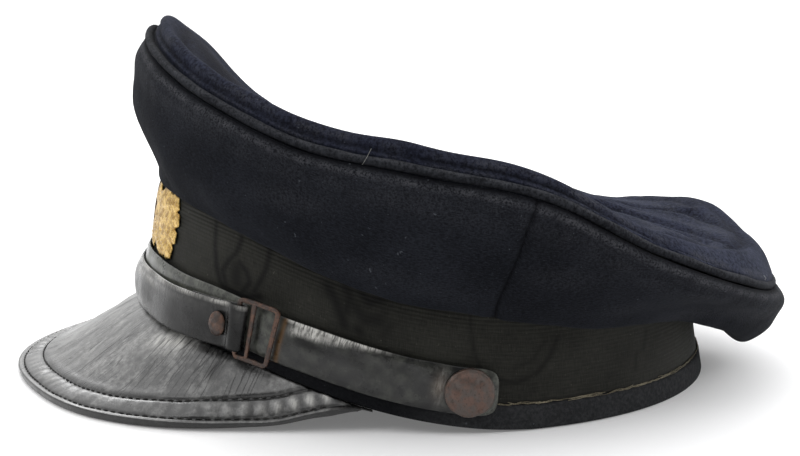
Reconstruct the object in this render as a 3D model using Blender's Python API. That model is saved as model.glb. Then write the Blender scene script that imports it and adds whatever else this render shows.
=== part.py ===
"""A worn peaked cap, lying on the edge of its peak and on the foot of its band.

Lengths are in millimetres and meshes are made in metres. The peak points along -Y, the
wearer's left is +X, and the cap lies on the plane z = 0. Angles run round the head from
0 at the front through 90 at the wearer's left to 180 at the back.
"""

import math

import bmesh
import bpy
import numpy as np

MM = 0.001

# Clearance between neighbouring pieces
GAP = 0.3

# Ring round the head: the outer face of the band at its foot
RING_LENGTH = 202.0
RING_WIDTH = 180.0
FRONT_LIFT = 26.0
BAND_TOP = 45.0
BAND_WALL = 2.4
LEAN_AT_ENDS = 7.5
LEAN_AT_SIDES = 3.0
WELT_HEIGHT = 8.0
WELT_PROUD = 0.8
WELT_WALL = 3.6
WELT_ROUND = 0.9

# Crown, measured from the ring and from the band's top edge. The SLUMP shares say how
# much further its right side drops, reaches out and bulges where it has slumped.
CLOTH = 1.6
CROWN_RISE = 48.0
CROWN_SLUMP = 26.0
CROWN_DROOP = 35.0
CROWN_FOLD_OUT = 25.0
CROWN_BULGE = 5.5
CROWN_OVER_FRONT = -4.0
CROWN_OVER_SIDES = 18.0
CROWN_OVER_REAR = 23.7
SEAM_ANGLE = 99.0
HEM_TURN_START = 6.0
HEM_TURN = 16.0
SLUMP_DROP = 0.2
SLUMP_REACH = 0.14
SLUMP_UNDER = 0.05
SLUMP_BULGE = 0.5
PIPING_DIAMETER = 3.0
TOP_PUFF = 6.0
TOP_CENTRE_RISE = 21.0
TOP_FOLD = 4.0
TOP_DISH = 1.5

# Peak
PEAK_LENGTH = 48.0
PEAK_WALL = 3.0
PEAK_HOLLOW = 2.6
PEAK_RIM = 2.55
PEAK_TUCK = 1.6

# Chin strap
STRAP_WIDTH = 15.0
STRAP_WALL = 1.2
STRAP_STEP = 5.0
STRAP_CUP = 1.9
BUTTON_ANGLE = 97.0
BUTTON_UP = 12.0
STRAP_END = 8.6

# Buckle, stud, button
BUCKLE_ANGLE = 58.3
BUCKLE_LENGTH = 14.0
BUCKLE_BAR = 1.6
BUCKLE_THICK = 1.2
BUCKLE_BAR_STEP = 4.7
STRAP_CLEAR = 0.65
STUD_STEP = 13.5
STUD_WIDTH = 6.4
STUD_HEIGHT = 8.0
STUD_DOME = 1.5
FOLD_TAIL = 22.0
BUTTON_DIAMETER = 15.4
BUTTON_THICK = 2.8

# Badge
BADGE_WIDTH = 92.0
BADGE_HEIGHT = 21.5
BADGE_THICK = 1.2
BADGE_CLEAR = 0.6
BOSS_WIDTH = 16.0
BOSS_DOME = 1.0

# Finishes: colour, roughness and metallic value
WOOL = ((0.012, 0.014, 0.022), 0.95, 0.0)
RIBBON = ((0.020, 0.019, 0.015), 0.75, 0.0)
LEATHER = ((0.035, 0.034, 0.033), 0.35, 0.0)
RUSTED_STEEL = ((0.16, 0.10, 0.07), 0.6, 0.7)
BROWN_METAL = ((0.14, 0.09, 0.07), 0.55, 0.6)
GILT = ((0.80, 0.58, 0.24), 0.4, 0.9)
DARK_BRONZE = ((0.16, 0.11, 0.06), 0.5, 0.7)

# Facets
SHARP_ANGLE = 40.0
RING_STEPS = 60
SIDE_STEPS = 9
PIPING_SIDES = 8
PEAK_STEPS = 40
ROUND_STEPS = 16
BADGE_CUTS = 10


def table(columns, rows):
    """Turn rows of numbers into one array for each named column."""
    return {name: np.array(values, float) for name, values in zip(columns, zip(*rows))}


def smooth(xs, ys, x, flat_ends=True):
    """Read ys at x with a curve that passes through every row without a corner."""
    slopes = np.gradient(ys, xs)
    if flat_ends:
        slopes[0] = slopes[-1] = 0.0
    i = int(np.clip(np.searchsorted(xs, x) - 1, 0, len(xs) - 2))
    span = xs[i + 1] - xs[i]
    s = min(max((x - xs[i]) / span, 0.0), 1.0)
    start = ys[i] * (1 + 2 * s) * (1 - s) ** 2 + slopes[i] * span * s * (1 - s) ** 2
    end = ys[i + 1] * s * s * (3 - 2 * s) - slopes[i + 1] * span * s * s * (1 - s)
    return start + end


def read(rows, column, angle):
    """Read a column of a table whose first column is angle, the same on both sides."""
    around = angle % 360.0
    return float(smooth(rows["angle"], rows[column], min(around, 360.0 - around)))


# Lift of the band's foot, as a share of FRONT_LIFT. The place is the share of the ring's
# half length, from -1 at the front to 1 at the back.
FOOT = table(
    ("place", "lift"),
    (
        (-1.00, 1.000),
        (-0.82, 0.935),
        (-0.62, 0.795),
        (-0.40, 0.540),
        (-0.20, 0.315),
        (0.00, 0.145),
        (0.18, 0.040),
        (0.32, 0.000),
        (1.00, 0.000),
    ),
)

# Crown, as shares: rise of the piping above the band's top edge of CROWN_RISE, drop of
# the piping on the wearer's right of CROWN_SLUMP, drops of the hem and of the fold of
# CROWN_DROOP, reach of the fold's underside and outside of CROWN_FOLD_OUT, rise of the
# fold's outside over its underside of CROWN_DROOP, bulge of CROWN_BULGE, and puff of the
# top panel's rim of TOP_PUFF.
CROWN = table(
    ("angle", "rise", "slump", "hem", "drop", "under_out", "fold_out", "fold_up", "bulge", "puff"),
    (
        (0.0, 1.040, 0.00, 0.00, -0.06, 0.060, 0.11, 0.13, 1.35, 1.10),
        (20.0, 0.920, 0.17, 0.02, 0.03, 0.080, 0.15, 0.13, 1.05, 1.20),
        (40.0, 0.745, 0.66, 0.05, 0.07, 0.130, 0.25, 0.10, 0.75, 1.05),
        (60.0, 0.630, 1.00, 0.10, 0.15, 0.150, 0.30, 0.11, 0.60, 0.95),
        (80.0, 0.690, 1.00, 0.14, 0.23, 0.165, 0.34, 0.11, 0.55, 0.92),
        (100.0, 0.660, 1.00, 0.16, 0.24, 0.200, 0.42, 0.13, 0.55, 0.75),
        (120.0, 0.290, 0.78, 0.27, 0.38, 0.280, 0.58, 0.17, 0.55, 0.60),
        (140.0, 0.000, 0.12, 0.38, 0.46, 0.370, 0.74, 0.20, 0.60, 0.90),
        (160.0, -0.196, -0.20, 0.42, 0.75, 0.690, 0.93, 0.20, 0.58, 1.40),
        (180.0, -0.250, 0.00, 0.44, 1.06, 0.720, 1.07, 0.27, 0.72, 1.65),
    ),
)

# Top panel from its rim to near its centre: place as a share of the way out, puff as a
# share of TOP_PUFF, and how much of TOP_FOLD the folds have there.
TOP = table(
    ("place", "puff", "fold"),
    (
        (0.28, 0.00, 0.3),
        (0.50, 0.00, 0.8),
        (0.68, 0.15, 1.0),
        (0.82, 0.62, 0.8),
        (0.90, 1.00, 0.3),
        (0.96, 0.98, 0.0),
        (0.98, 0.76, 0.0),
        (1.00, 0.00, 0.0),
    ),
)

# Folds and hollows of the top panel: angle and width in degrees, and height as a share of
# TOP_FOLD.
FOLD_COLUMNS = ("angle", "width", "height")
FOLDS = (
    (40.0, 26.0, -2.2),
    (118.0, 9.0, -0.7),
    (134.0, 8.0, 0.9),
    (150.0, 7.0, -0.8),
    (166.0, 8.0, 0.8),
    (196.0, 9.0, -0.6),
    (214.0, 13.0, -0.8),
    (246.0, 14.0, -0.4),
    (337.0, 22.0, -1.6),
)

# Peak, as shares: reach of PEAK_LENGTH, and height of the rim's underside of the height
# of the band's foot there.
PEAK = table(
    ("angle", "reach", "rim"),
    (
        (0.0, 1.000, 0.00),
        (20.0, 0.870, 0.00),
        (35.0, 0.735, 0.00),
        (48.0, 0.515, 0.00),
        (58.0, 0.300, 0.00),
        (65.0, 0.180, 0.05),
        (70.0, 0.125, 0.28),
        (75.0, 0.083, 0.56),
        (80.0, 0.055, 0.80),
    ),
)

# Chin strap: share of the way that the outer layer has climbed from its place on the
# peak to the button, and share of STRAP_STEP that the inner layer stands above it.
STRAP = table(
    ("angle", "climb", "step"),
    (
        (0.0, 0.00, 1.00),
        (20.0, 0.00, 1.00),
        (38.0, 0.12, 0.76),
        (48.0, 0.38, 0.58),
        (58.0, 0.86, 0.05),
        (70.0, 1.05, 0.00),
        (97.0, 1.00, 0.00),
        (120.0, 1.00, 0.00),
    ),
)

# Leaves on one side of the badge: place along and up as shares of its half width and half
# height, and the way the leaf points in degrees.
LEAF_COLUMNS = ("along", "up", "turn")
LEAVES = (
    (0.36, 0.62, 22.0),
    (0.38, -0.62, -22.0),
    (0.42, 0.00, 0.0),
    (0.76, 0.64, 12.0),
    (0.76, -0.64, -12.0),
    (0.81, 0.02, 0.0),
)
LEAF_LENGTH_SHARE = 0.19
LEAF_WIDTH_SHARE = 0.38


def unit(vector):
    return vector / np.linalg.norm(vector)


def foot_height(angle):
    """Height of the band's foot above the table, which its rear part lies flat on."""
    place = -math.cos(math.radians(angle))
    return FRONT_LIFT * max(float(smooth(FOOT["place"], FOOT["lift"], place)), 0.0)


def ring_normal(angle):
    """Level direction that points away from the head."""
    turn = math.radians(angle)
    along = RING_LENGTH * math.sin(turn)
    across = -RING_WIDTH * math.cos(turn)
    return unit(np.array([along, across, 0.0]))


def lean(angle):
    """How far the band leans in over its full height."""
    share = math.cos(math.radians(angle)) ** 2
    return LEAN_AT_ENDS * share + LEAN_AT_SIDES * (1 - share)


def wall_point(angle, up, out):
    """A point by the band: up from its foot, and out from its outer face."""
    turn = math.radians(angle)
    plan = np.array([RING_WIDTH / 2 * math.sin(turn), -RING_LENGTH / 2 * math.cos(turn), 0.0])
    outward = out - lean(angle) * up / BAND_TOP
    return plan + ring_normal(angle) * outward + np.array([0.0, 0.0, foot_height(angle) + up])


class WallLine:
    """A line round the band, and places near it: along, up across it, and out."""

    def __init__(self, height):
        self.height = height
        self.angles = np.linspace(-125.0, 125.0, 501)
        points = np.array([wall_point(a, height(a), 0.0) for a in self.angles])
        steps = np.linalg.norm(np.diff(points, axis=0), axis=1)
        lengths = np.concatenate([[0.0], np.cumsum(steps)])
        self.lengths = lengths - np.interp(0.0, self.angles, lengths)

    def along(self, angle):
        """Distance along the line from the front to an angle."""
        return float(np.interp(angle, self.angles, self.lengths))

    def point(self, along, up, out):
        angle = float(np.interp(along, self.lengths, self.angles))
        middle = wall_point(angle, self.height(angle), 0.0)
        step = 0.5
        ahead = wall_point(angle + step, self.height(angle + step), 0.0)
        behind = wall_point(angle - step, self.height(angle - step), 0.0)
        forward = unit(ahead - behind)
        rising = wall_point(angle, self.height(angle) + 1.0, 0.0) - middle
        outward = unit(np.cross(forward, rising))
        across = np.cross(outward, forward)
        return middle + across * up + outward * out


def over_height(angle):
    """Height of the outer strap's middle above the band's foot."""
    at_front = STRAP_WIDTH / 2 - GAP
    return at_front + (BUTTON_UP - at_front) * read(STRAP, "climb", angle)


def under_height(angle):
    """Height of the inner strap's middle above the band's foot."""
    return over_height(angle) + STRAP_STEP * read(STRAP, "step", angle)


OVER_LINE = WallLine(over_height)
UNDER_LINE = WallLine(under_height)

# How far out the chin strap's layers lie, to the middle of each
UNDER_OUT = WELT_PROUD + GAP + STRAP_WALL / 2
BACK_OUT = UNDER_OUT + STRAP_WALL + GAP
BUCKLE_OUT = BACK_OUT + STRAP_WALL / 2 + GAP + BUCKLE_THICK / 2
FRONT_OUT = 2 * BUCKLE_OUT - BACK_OUT
STUD_OUT = BACK_OUT + STRAP_WALL + GAP


def piping_point(angle):
    """Middle of the cord between the crown's sides and its top."""
    turn = math.radians(angle)
    front = RING_LENGTH / 2 + CROWN_OVER_FRONT
    rear = RING_LENGTH / 2 + CROWN_OVER_REAR
    x = (RING_WIDTH / 2 + CROWN_OVER_SIDES) * math.sin(turn)
    y = (rear - front) / 2 - (rear + front) / 2 * math.cos(turn)
    z = foot_height(angle) + BAND_TOP + CROWN_RISE * read(CROWN, "rise", angle)
    if math.sin(turn) < 0:
        z -= CROWN_SLUMP * read(CROWN, "slump", angle)
    return np.array([x, y, z])


def sagging(angle):
    """0 where the crown stands, 1 where it has slumped on the wearer's right."""
    if math.sin(math.radians(angle)) < 0:
        return max(read(CROWN, "slump", angle), 0.0)
    return 0.0


def piping_frame(angle):
    """Middle of the piping, its outward direction and the direction over it."""
    forward = unit(piping_point(angle + 0.5) - piping_point(angle - 0.5))
    outward = unit(np.cross(forward, [0.0, 0.0, 1.0]))
    return piping_point(angle), outward, np.cross(outward, forward)


def side_section(angle):
    """Outer face of the crown's side at an angle, from its hem up to the piping."""
    slumped = sagging(angle)
    settled = ease(angle)
    hem_up = BAND_TOP + (1 - settled) * GAP - CROWN_DROOP * read(CROWN, "hem", angle)
    hem_out = CLOTH / 2 * (1 - settled) + 2 * GAP * settled
    drop = CROWN_DROOP * (read(CROWN, "drop", angle) + SLUMP_DROP * slumped)
    fold_out = CROWN_FOLD_OUT * (read(CROWN, "fold_out", angle) + SLUMP_REACH * slumped)
    under_out = CROWN_FOLD_OUT * (read(CROWN, "under_out", angle) + SLUMP_UNDER * slumped)
    fold_up = CROWN_DROOP * read(CROWN, "fold_up", angle)
    bulge = CROWN_BULGE * (read(CROWN, "bulge", angle) + SLUMP_BULGE * slumped)
    piping, outward, over = piping_frame(angle)
    radius = PIPING_DIAMETER / 2
    hem = wall_point(angle, hem_up, hem_out)
    under = wall_point(angle, BAND_TOP - drop, under_out)
    fold = wall_point(angle, BAND_TOP - drop + fold_up, fold_out)
    head = piping - over * (radius + GAP) + outward * radius / 2
    middle = fold * 0.45 + head * 0.55 + outward * bulge
    points = np.array([hem, under, fold, middle, head])
    return spline(points, SIDE_STEPS)


def ease(angle):
    """0 where the crown rises straight off the band, 1 where it folds over it."""
    around = min(angle % 360.0, 360.0 - angle % 360.0)
    share = min(max((around - HEM_TURN_START) / HEM_TURN, 0.0), 1.0)
    return share * share * (3 - 2 * share)


def spline(points, count):
    """Points at even steps along a smooth curve through the given ones."""
    chords = np.linalg.norm(np.diff(points, axis=0), axis=1)
    lengths = np.concatenate([[0.0], np.cumsum(chords)])
    places = np.linspace(0.0, lengths[-1], count)
    columns = [
        [float(smooth(lengths, points[:, axis], place, False)) for place in places]
        for axis in range(3)
    ]
    return np.array(columns).T


def grid_normals(grid, closed):
    """Unit normals of a grid of points, on the side of rows crossed with columns."""
    if closed:
        along = np.roll(grid, -1, axis=0) - np.roll(grid, 1, axis=0)
    else:
        along = np.gradient(grid, axis=0)
    across = np.gradient(grid, axis=1)
    normals = np.cross(along, across)
    return normals / np.linalg.norm(normals, axis=2, keepdims=True)


def strip_faces(rows, columns, closed_rows, closed_columns, start=0):
    """Quads between neighbouring points of a grid, numbered row by row."""
    faces = []
    for i in range(rows if closed_rows else rows - 1):
        for j in range(columns if closed_columns else columns - 1):
            k, m = (i + 1) % rows, (j + 1) % columns
            faces.append([start + i * columns + j, start + k * columns + j,
                          start + k * columns + m, start + i * columns + m])
    return faces


def make_material(name, finish):
    """A material of its own for one piece, from its colour, roughness and metallic value."""
    colour, roughness, metallic = finish
    made = bpy.data.materials.new(name)
    made.use_nodes = True
    shader = made.node_tree.nodes["Principled BSDF"]
    shader.inputs["Base Color"].default_value = (*colour, 1.0)
    shader.inputs["Roughness"].default_value = roughness
    shader.inputs["Metallic"].default_value = metallic
    return made


def make_object(name, points, faces, finish):
    """A named object from points in millimetres, with its faces turned outwards."""
    mesh = bpy.data.meshes.new(name)
    model = bmesh.new()
    corners = [model.verts.new([c * MM for c in point]) for point in points]
    for face in faces:
        model.faces.new([corners[i] for i in face])
    bmesh.ops.recalc_face_normals(model, faces=model.faces)
    model.to_mesh(mesh)
    model.free()
    mesh.shade_smooth()
    mesh.set_sharp_from_angle(angle=math.radians(SHARP_ANGLE))
    mesh.materials.append(make_material(name, finish))
    piece = bpy.data.objects.new(name, mesh)
    bpy.context.collection.objects.link(piece)
    return piece


def sheet_object(name, outer, inner, closed, finish):
    """A wall between two grids of points, closed into a ring or left as a panel."""
    rows, columns = outer.shape[:2]
    loops = np.concatenate([outer, inner[:, ::-1]], axis=1)
    faces = strip_faces(rows, 2 * columns, closed, True)
    if not closed:
        for row in (0, rows - 1):
            base = row * 2 * columns
            for j in range(columns - 1):
                faces.append([base + j, base + j + 1, base + 2 * columns - 2 - j,
                              base + 2 * columns - 1 - j])
    return make_object(name, loops.reshape(-1, 3), faces, finish)


def ring_angles(count=RING_STEPS):
    return [360.0 * i / count for i in range(count)]


def build_band(finish):
    """The ribbed band, from just above the welt to the crown."""
    profile = [(WELT_HEIGHT + GAP, 0.0), ((WELT_HEIGHT + BAND_TOP) / 2, 0.0), (BAND_TOP, 0.0)]
    outer = np.array([[wall_point(a, up, 0.0) for up, _ in profile] for a in ring_angles()])
    inner = np.array([[wall_point(a, up, -BAND_WALL) for up, _ in profile] for a in ring_angles()])
    return sheet_object("band", outer, inner, True, finish)


def build_welt(finish):
    """The cloth strip round the foot, flat underneath."""
    profile = [
        (0.0, WELT_PROUD - WELT_WALL),
        (0.0, WELT_PROUD - WELT_ROUND),
        (WELT_ROUND, WELT_PROUD),
        (WELT_HEIGHT - WELT_ROUND, WELT_PROUD),
        (WELT_HEIGHT, WELT_PROUD - WELT_ROUND),
        (WELT_HEIGHT, WELT_PROUD - WELT_WALL),
    ]
    loops = np.array([[wall_point(a, up, out) for up, out in profile] for a in ring_angles()])
    faces = strip_faces(RING_STEPS, len(profile), True, True)
    return make_object("welt", loops.reshape(-1, 3), faces, finish)


def crown_wall(name, start, end, finish):
    """One side panel of the crown between two angles."""
    half_gap = math.degrees(GAP / RING_WIDTH)
    step = 360.0 / RING_STEPS
    first, last = math.ceil(start / step), math.floor(end / step)
    angles = [start + half_gap] + [step * i for i in range(first, last + 1)] + [end - half_gap]
    outer = np.array([side_section(a) for a in angles])
    inner = outer - CLOTH * grid_normals(outer, False)
    for row, angle in enumerate(angles):
        settled = ease(angle)
        level = -ring_normal(angle) * (1 - settled) + np.array([0.0, 0.0, settled])
        inner[row, 0] = outer[row, 0] + CLOTH * unit(level)
        inner[row, -1] = outer[row, -1] - CLOTH * piping_frame(angle)[1]
    return sheet_object(name, outer, inner, False, finish)


def build_piping(finish):
    """A round cord along the top edge of the crown's sides."""
    radius = PIPING_DIAMETER / 2
    loops = []
    for angle in ring_angles():
        middle, outward, over = piping_frame(angle)
        for side in range(PIPING_SIDES):
            turn = 2 * math.pi * side / PIPING_SIDES
            loops.append(middle + radius * (math.cos(turn) * outward + math.sin(turn) * over))
    faces = strip_faces(RING_STEPS, PIPING_SIDES, True, True)
    return make_object("crown_piping", loops, faces, finish)


def fold_height(angle):
    """Sum of the folds and hollows of the top panel at an angle."""
    total = 0.0
    for centre, width, height in FOLDS:
        away = (angle - centre + 180.0) % 360.0 - 180.0
        total += height * math.exp(-((away / width) ** 2))
    return TOP_FOLD * total


def top_centre():
    """Middle of the top panel's upper face."""
    left, right = piping_point(90.0), piping_point(270.0)
    y = (left[1] + right[1]) / 2
    return np.array([0.0, y, foot_height(90.0) + BAND_TOP + TOP_CENTRE_RISE])


def top_point(angle, place):
    """Upper face of the top panel at an angle and a share of the way out."""
    piping, outward, over = piping_frame(angle)
    radius = PIPING_DIAMETER / 2
    edge = piping - outward * (radius + GAP) + over * radius * 0.4
    centre = top_centre()
    point = centre + (edge - centre) * place
    point[2] = centre[2] + (edge[2] - centre[2]) * place ** TOP_DISH
    puff = TOP_PUFF * read(CROWN, "puff", angle) * (1 - SLUMP_BULGE * sagging(angle))
    point[2] += puff * float(smooth(TOP["place"], TOP["puff"], place))
    point[2] += fold_height(angle) * float(smooth(TOP["place"], TOP["fold"], place))
    return point


def build_top(finish):
    """The top panel, an open sheet puffed at its rim."""
    places = TOP["place"][::-1]
    upper = np.array([[top_point(a, place) for place in places] for a in ring_angles()])
    normals = -grid_normals(upper, True)
    normals *= np.sign(normals[:, :, 2:3])
    lower = upper - CLOTH * normals
    rows, columns = upper.shape[:2]
    loops = np.concatenate([upper[:, ::-1], lower], axis=1)
    points = list(loops.reshape(-1, 3))
    faces = strip_faces(rows, 2 * columns, True, False)
    centre = top_centre()
    points += [centre, centre - np.array([0.0, 0.0, CLOTH])]
    top, bottom = len(points) - 2, len(points) - 1
    for i in range(rows):
        k = (i + 1) % rows
        faces.append([i * 2 * columns, k * 2 * columns, top])
        faces.append([i * 2 * columns + 2 * columns - 1, k * 2 * columns + 2 * columns - 1, bottom])
    return make_object("crown_top", points, faces, finish)


def peak_point(angle, share):
    """Upper face of the peak, from its root at share 0 to its rim at share 1."""
    reach = PEAK_LENGTH * read(PEAK, "reach", angle)
    foot = foot_height(angle)
    rim = foot * read(PEAK, "rim", angle) + PEAK_RIM
    root = WELT_PROUD - PEAK_TUCK
    if share < 0:
        return wall_point(angle, -GAP, root)
    fall = foot - GAP - rim
    dip = 27 / 4 * share ** 2 * (1 - share)
    hollow = PEAK_HOLLOW * reach / PEAK_LENGTH * dip
    point = wall_point(angle, -GAP, WELT_PROUD + (reach - WELT_PROUD) * share)
    point[2] -= fall * share + hollow
    return point


def build_peak(finish):
    """The peak, tucked under the welt and curved down to the table."""
    tail = PEAK["angle"][-1]
    angles = np.linspace(-tail, tail, PEAK_STEPS + 1)
    shares = [-1.0, 0.0, 0.15, 0.33, 0.52, 0.70, 0.86, 1.0]
    upper = np.array([[peak_point(a, share) for share in shares] for a in angles])
    normals = grid_normals(upper, False)
    normals *= np.sign(normals[:, :, 2:3])
    normals[:, :2] = [0.0, 0.0, 1.0]
    lower = upper - PEAK_WALL * normals
    lower[:, :, 2] = np.maximum(lower[:, :, 2], 0.0)
    lower[:, -1, :2] = upper[:, -1, :2]
    return sheet_object("peak", upper, lower, False, finish)


def strap_object(name, line, path, finish):
    """A flat strap along a line round the band.

    Each entry of the path is the place along, the distance out, the half width and how
    far the middle cups away from the band.
    """
    flat = np.array([(along, out) for along, out, _, _ in path])
    ways = np.gradient(flat, axis=0)
    ways /= np.linalg.norm(ways, axis=1, keepdims=True)
    rows = []
    for (along, out, half, cup), (way_along, way_out) in zip(path, ways):
        loop = []
        for face, ups in ((1, (-half, 0.0, half)), (-1, (half, 0.0, -half))):
            shift = face * STRAP_WALL / 2
            for up in ups:
                lift = cup if up == 0.0 else 0.0
                place = (along - way_out * shift, out + way_along * shift + lift)
                loop.append(line.point(place[0], up, place[1]))
        rows.append(loop)
    grid = np.array(rows)
    faces = strip_faces(len(path), 6, False, True)
    for row in (0, len(path) - 1):
        base = row * 6
        faces.append([base, base + 1, base + 4, base + 5])
        faces.append([base + 1, base + 2, base + 3, base + 4])
    return make_object(name, grid.reshape(-1, 3), faces, finish)


def build_under_strap(finish):
    """The strap layer next to the band, from button to button."""
    centre = UNDER_LINE.along(BUTTON_ANGLE)
    half = STRAP_WIDTH / 2
    path = [(place, UNDER_OUT, half, 0.0) for place in np.linspace(-centre, centre, 53)]
    for share in (0.45, 0.75, 0.93):
        rounded = half * math.sqrt(1 - share ** 2)
        path.append((centre + STRAP_END * share, UNDER_OUT, rounded, 0.0))
        path.insert(0, (-centre - STRAP_END * share, UNDER_OUT, rounded, 0.0))
    return strap_object("strap_under", UNDER_LINE, path, finish)


def build_over_strap(finish):
    """The strap layer in front, with each end folded round a buckle's bar."""
    half = STRAP_WIDTH / 2
    bar = OVER_LINE.along(BUCKLE_ANGLE) - BUCKLE_LENGTH / 2 + BUCKLE_BAR / 2
    stud = OVER_LINE.along(BUCKLE_ANGLE) - STUD_STEP
    tail = bar - FOLD_TAIL
    turn = bar + BUCKLE_BAR * 0.3
    side = [(tail, BACK_OUT, half, 0.0), (stud, BACK_OUT, half, 0.0), (bar, BACK_OUT, half, 0.0)]
    for step in range(5):
        bend = math.pi * (step / 4 - 0.5)
        reach = (FRONT_OUT - BACK_OUT) / 2
        side.append((turn + reach * math.cos(bend), BUCKLE_OUT + reach * math.sin(bend), half, 0.0))
    side.append((bar - BUCKLE_BAR, FRONT_OUT, half, 0.0))
    side.append((stud + STUD_WIDTH / 2, STUD_OUT, half, 0.0))
    side.append((stud - STUD_WIDTH / 2, STUD_OUT, half, 0.0))
    side.append((tail - STRAP_WALL, STUD_OUT, half, 0.0))
    start = tail - 4 * STRAP_WALL
    for place in np.linspace(start, start / 15, 15):
        cup = STRAP_CUP * smooth(np.array([0.0, 1.0]), np.array([1.0, 0.0]), place / start)
        side.append((place, BACK_OUT, half, cup))
    other = [(-along, out, half, cup) for along, out, half, cup in reversed(side)]
    return strap_object("strap_over", OVER_LINE, side + other, finish)


def build_buckle(name, sign, finish):
    """A flat frame with one bar inside it."""
    centre = OVER_LINE.along(BUCKLE_ANGLE)
    long, bar = BUCKLE_LENGTH / 2, BUCKLE_BAR
    tall = STRAP_WIDTH / 2 + STRAP_CLEAR + bar
    inside = -long + BUCKLE_BAR_STEP
    alongs = [-long, -long + bar, inside, inside + bar, long - bar, long]
    ups = [-tall, -tall + bar, tall - bar, tall]
    points, faces = [], []
    for out in (BUCKLE_OUT - BUCKLE_THICK / 2, BUCKLE_OUT + BUCKLE_THICK / 2):
        for along in alongs:
            points += [OVER_LINE.point(sign * (centre + along), up, out) for up in ups]
    columns, layer = len(ups), len(alongs) * len(ups)
    solid = {(i, j) for i in range(5) for j in range(3) if not (j == 1 and i in (1, 3))}
    for i, j in solid:
        near = [i * columns + j, (i + 1) * columns + j, (i + 1) * columns + j + 1, i * columns + j + 1]
        faces += [near, [layer + k for k in near]]
        for step_i, step_j, a, b in ((-1, 0, 3, 0), (1, 0, 1, 2), (0, -1, 0, 1), (0, 1, 2, 3)):
            if (i + step_i, j + step_j) not in solid:
                faces.append([near[a], near[b], layer + near[b], layer + near[a]])
    return make_object(name, points, faces, finish)


def round_object(name, line, centre, width, height, profile, finish):
    """A turned piece on a line round the band: profile of radius share and distance out."""
    points = []
    for radius, out in profile:
        for step in range(ROUND_STEPS):
            turn = 2 * math.pi * step / ROUND_STEPS
            along = centre + radius * width / 2 * math.cos(turn)
            points.append(line.point(along, radius * height / 2 * math.sin(turn), out))
    faces = strip_faces(len(profile), ROUND_STEPS, False, True)
    last = (len(profile) - 1) * ROUND_STEPS
    points.append(line.point(centre, 0.0, profile[-1][1] + 0.1))
    for step in range(ROUND_STEPS):
        faces.append([last + step, last + (step + 1) % ROUND_STEPS, len(points) - 1])
    faces.append(list(range(ROUND_STEPS)))
    return make_object(name, points, faces, finish)


def build_stud(name, sign, finish):
    centre = OVER_LINE.along(BUCKLE_ANGLE) - STUD_STEP
    base = STUD_OUT + STRAP_WALL / 2 + GAP
    profile = [(0.9, base), (1.0, base + 0.3), (0.85, base + STUD_DOME * 0.7), (0.45, base + STUD_DOME)]
    return round_object(name, OVER_LINE, sign * centre, STUD_WIDTH, STUD_HEIGHT, profile, finish)


def build_button(name, sign, finish):
    """A flat button with a raised rim and a low middle dome."""
    centre = UNDER_LINE.along(BUTTON_ANGLE)
    base = UNDER_OUT + STRAP_WALL / 2 + GAP
    thick = BUTTON_THICK
    profile = [(0.88, base), (1.0, base + thick * 0.2), (1.0, base + thick * 0.55),
               (0.9, base + thick * 0.8), (0.72, base + thick * 0.75), (0.35, base + thick)]
    size = BUTTON_DIAMETER
    return round_object(name, UNDER_LINE, sign * centre, size, size, profile, finish)


def badge_height(angle):
    """Height of the badge's middle: just above the chin strap."""
    strap_top = under_height(0.0) + STRAP_WIDTH / 2
    return strap_top + BADGE_CLEAR + BADGE_HEIGHT / 2


BADGE_LINE = WallLine(badge_height)


def leaf(model, along, up, turn):
    """One pointed leaf with a ridge, in the badge's flat plane."""
    length = BADGE_WIDTH * LEAF_LENGTH_SHARE
    width = BADGE_HEIGHT * LEAF_WIDTH_SHARE
    outline = [(-0.5, 0.0), (-0.25, -0.42), (0.12, -0.5), (0.5, 0.0), (0.12, 0.5), (-0.25, 0.42)]
    cosine, sine = math.cos(turn), math.sin(turn)

    def corner(x, y, out):
        x, y = x * length, y * width
        return model.verts.new((along + x * cosine - y * sine, up + x * sine + y * cosine, out))

    low = [corner(x, y, GAP) for x, y in outline]
    edge = [corner(x, y, GAP + BADGE_THICK * 0.5) for x, y in outline]
    ridge = [corner(-0.2, 0.0, GAP + BADGE_THICK), corner(0.2, 0.0, GAP + BADGE_THICK)]
    model.faces.new(low)
    for i in range(6):
        model.faces.new([low[i], low[(i + 1) % 6], edge[(i + 1) % 6], edge[i]])
    for corners in ((0, 1), (5, 0)):
        model.faces.new([edge[corners[0]], edge[corners[1]], ridge[0]])
    for corners in ((2, 3), (3, 4)):
        model.faces.new([edge[corners[0]], edge[corners[1]], ridge[1]])
    model.faces.new([edge[1], edge[2], ridge[1], ridge[0]])
    model.faces.new([edge[4], edge[5], ridge[0], ridge[1]])


def flat_block(model, half_long, half_tall, sides, low, high):
    """A flat plate with an oval or boxy outline in the badge's plane."""
    rings = []
    for out in (low, high):
        ring = []
        for step in range(sides):
            turn = 2 * math.pi * (step + 0.5) / sides
            ring.append(model.verts.new((half_long * math.cos(turn), half_tall * math.sin(turn), out)))
        rings.append(ring)
    model.faces.new(rings[0])
    model.faces.new(rings[1])
    for i in range(sides):
        k = (i + 1) % sides
        model.faces.new([rings[0][i], rings[0][k], rings[1][k], rings[1][i]])


def flat_piece(name, make):
    """An object that holds the shapes that make adds, in the badge's flat plane."""
    mesh = bpy.data.meshes.new(name)
    model = bmesh.new()
    make(model)
    bmesh.ops.recalc_face_normals(model, faces=model.faces)
    model.to_mesh(mesh)
    model.free()
    piece = bpy.data.objects.new(name, mesh)
    bpy.context.collection.objects.link(piece)
    return piece


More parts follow.
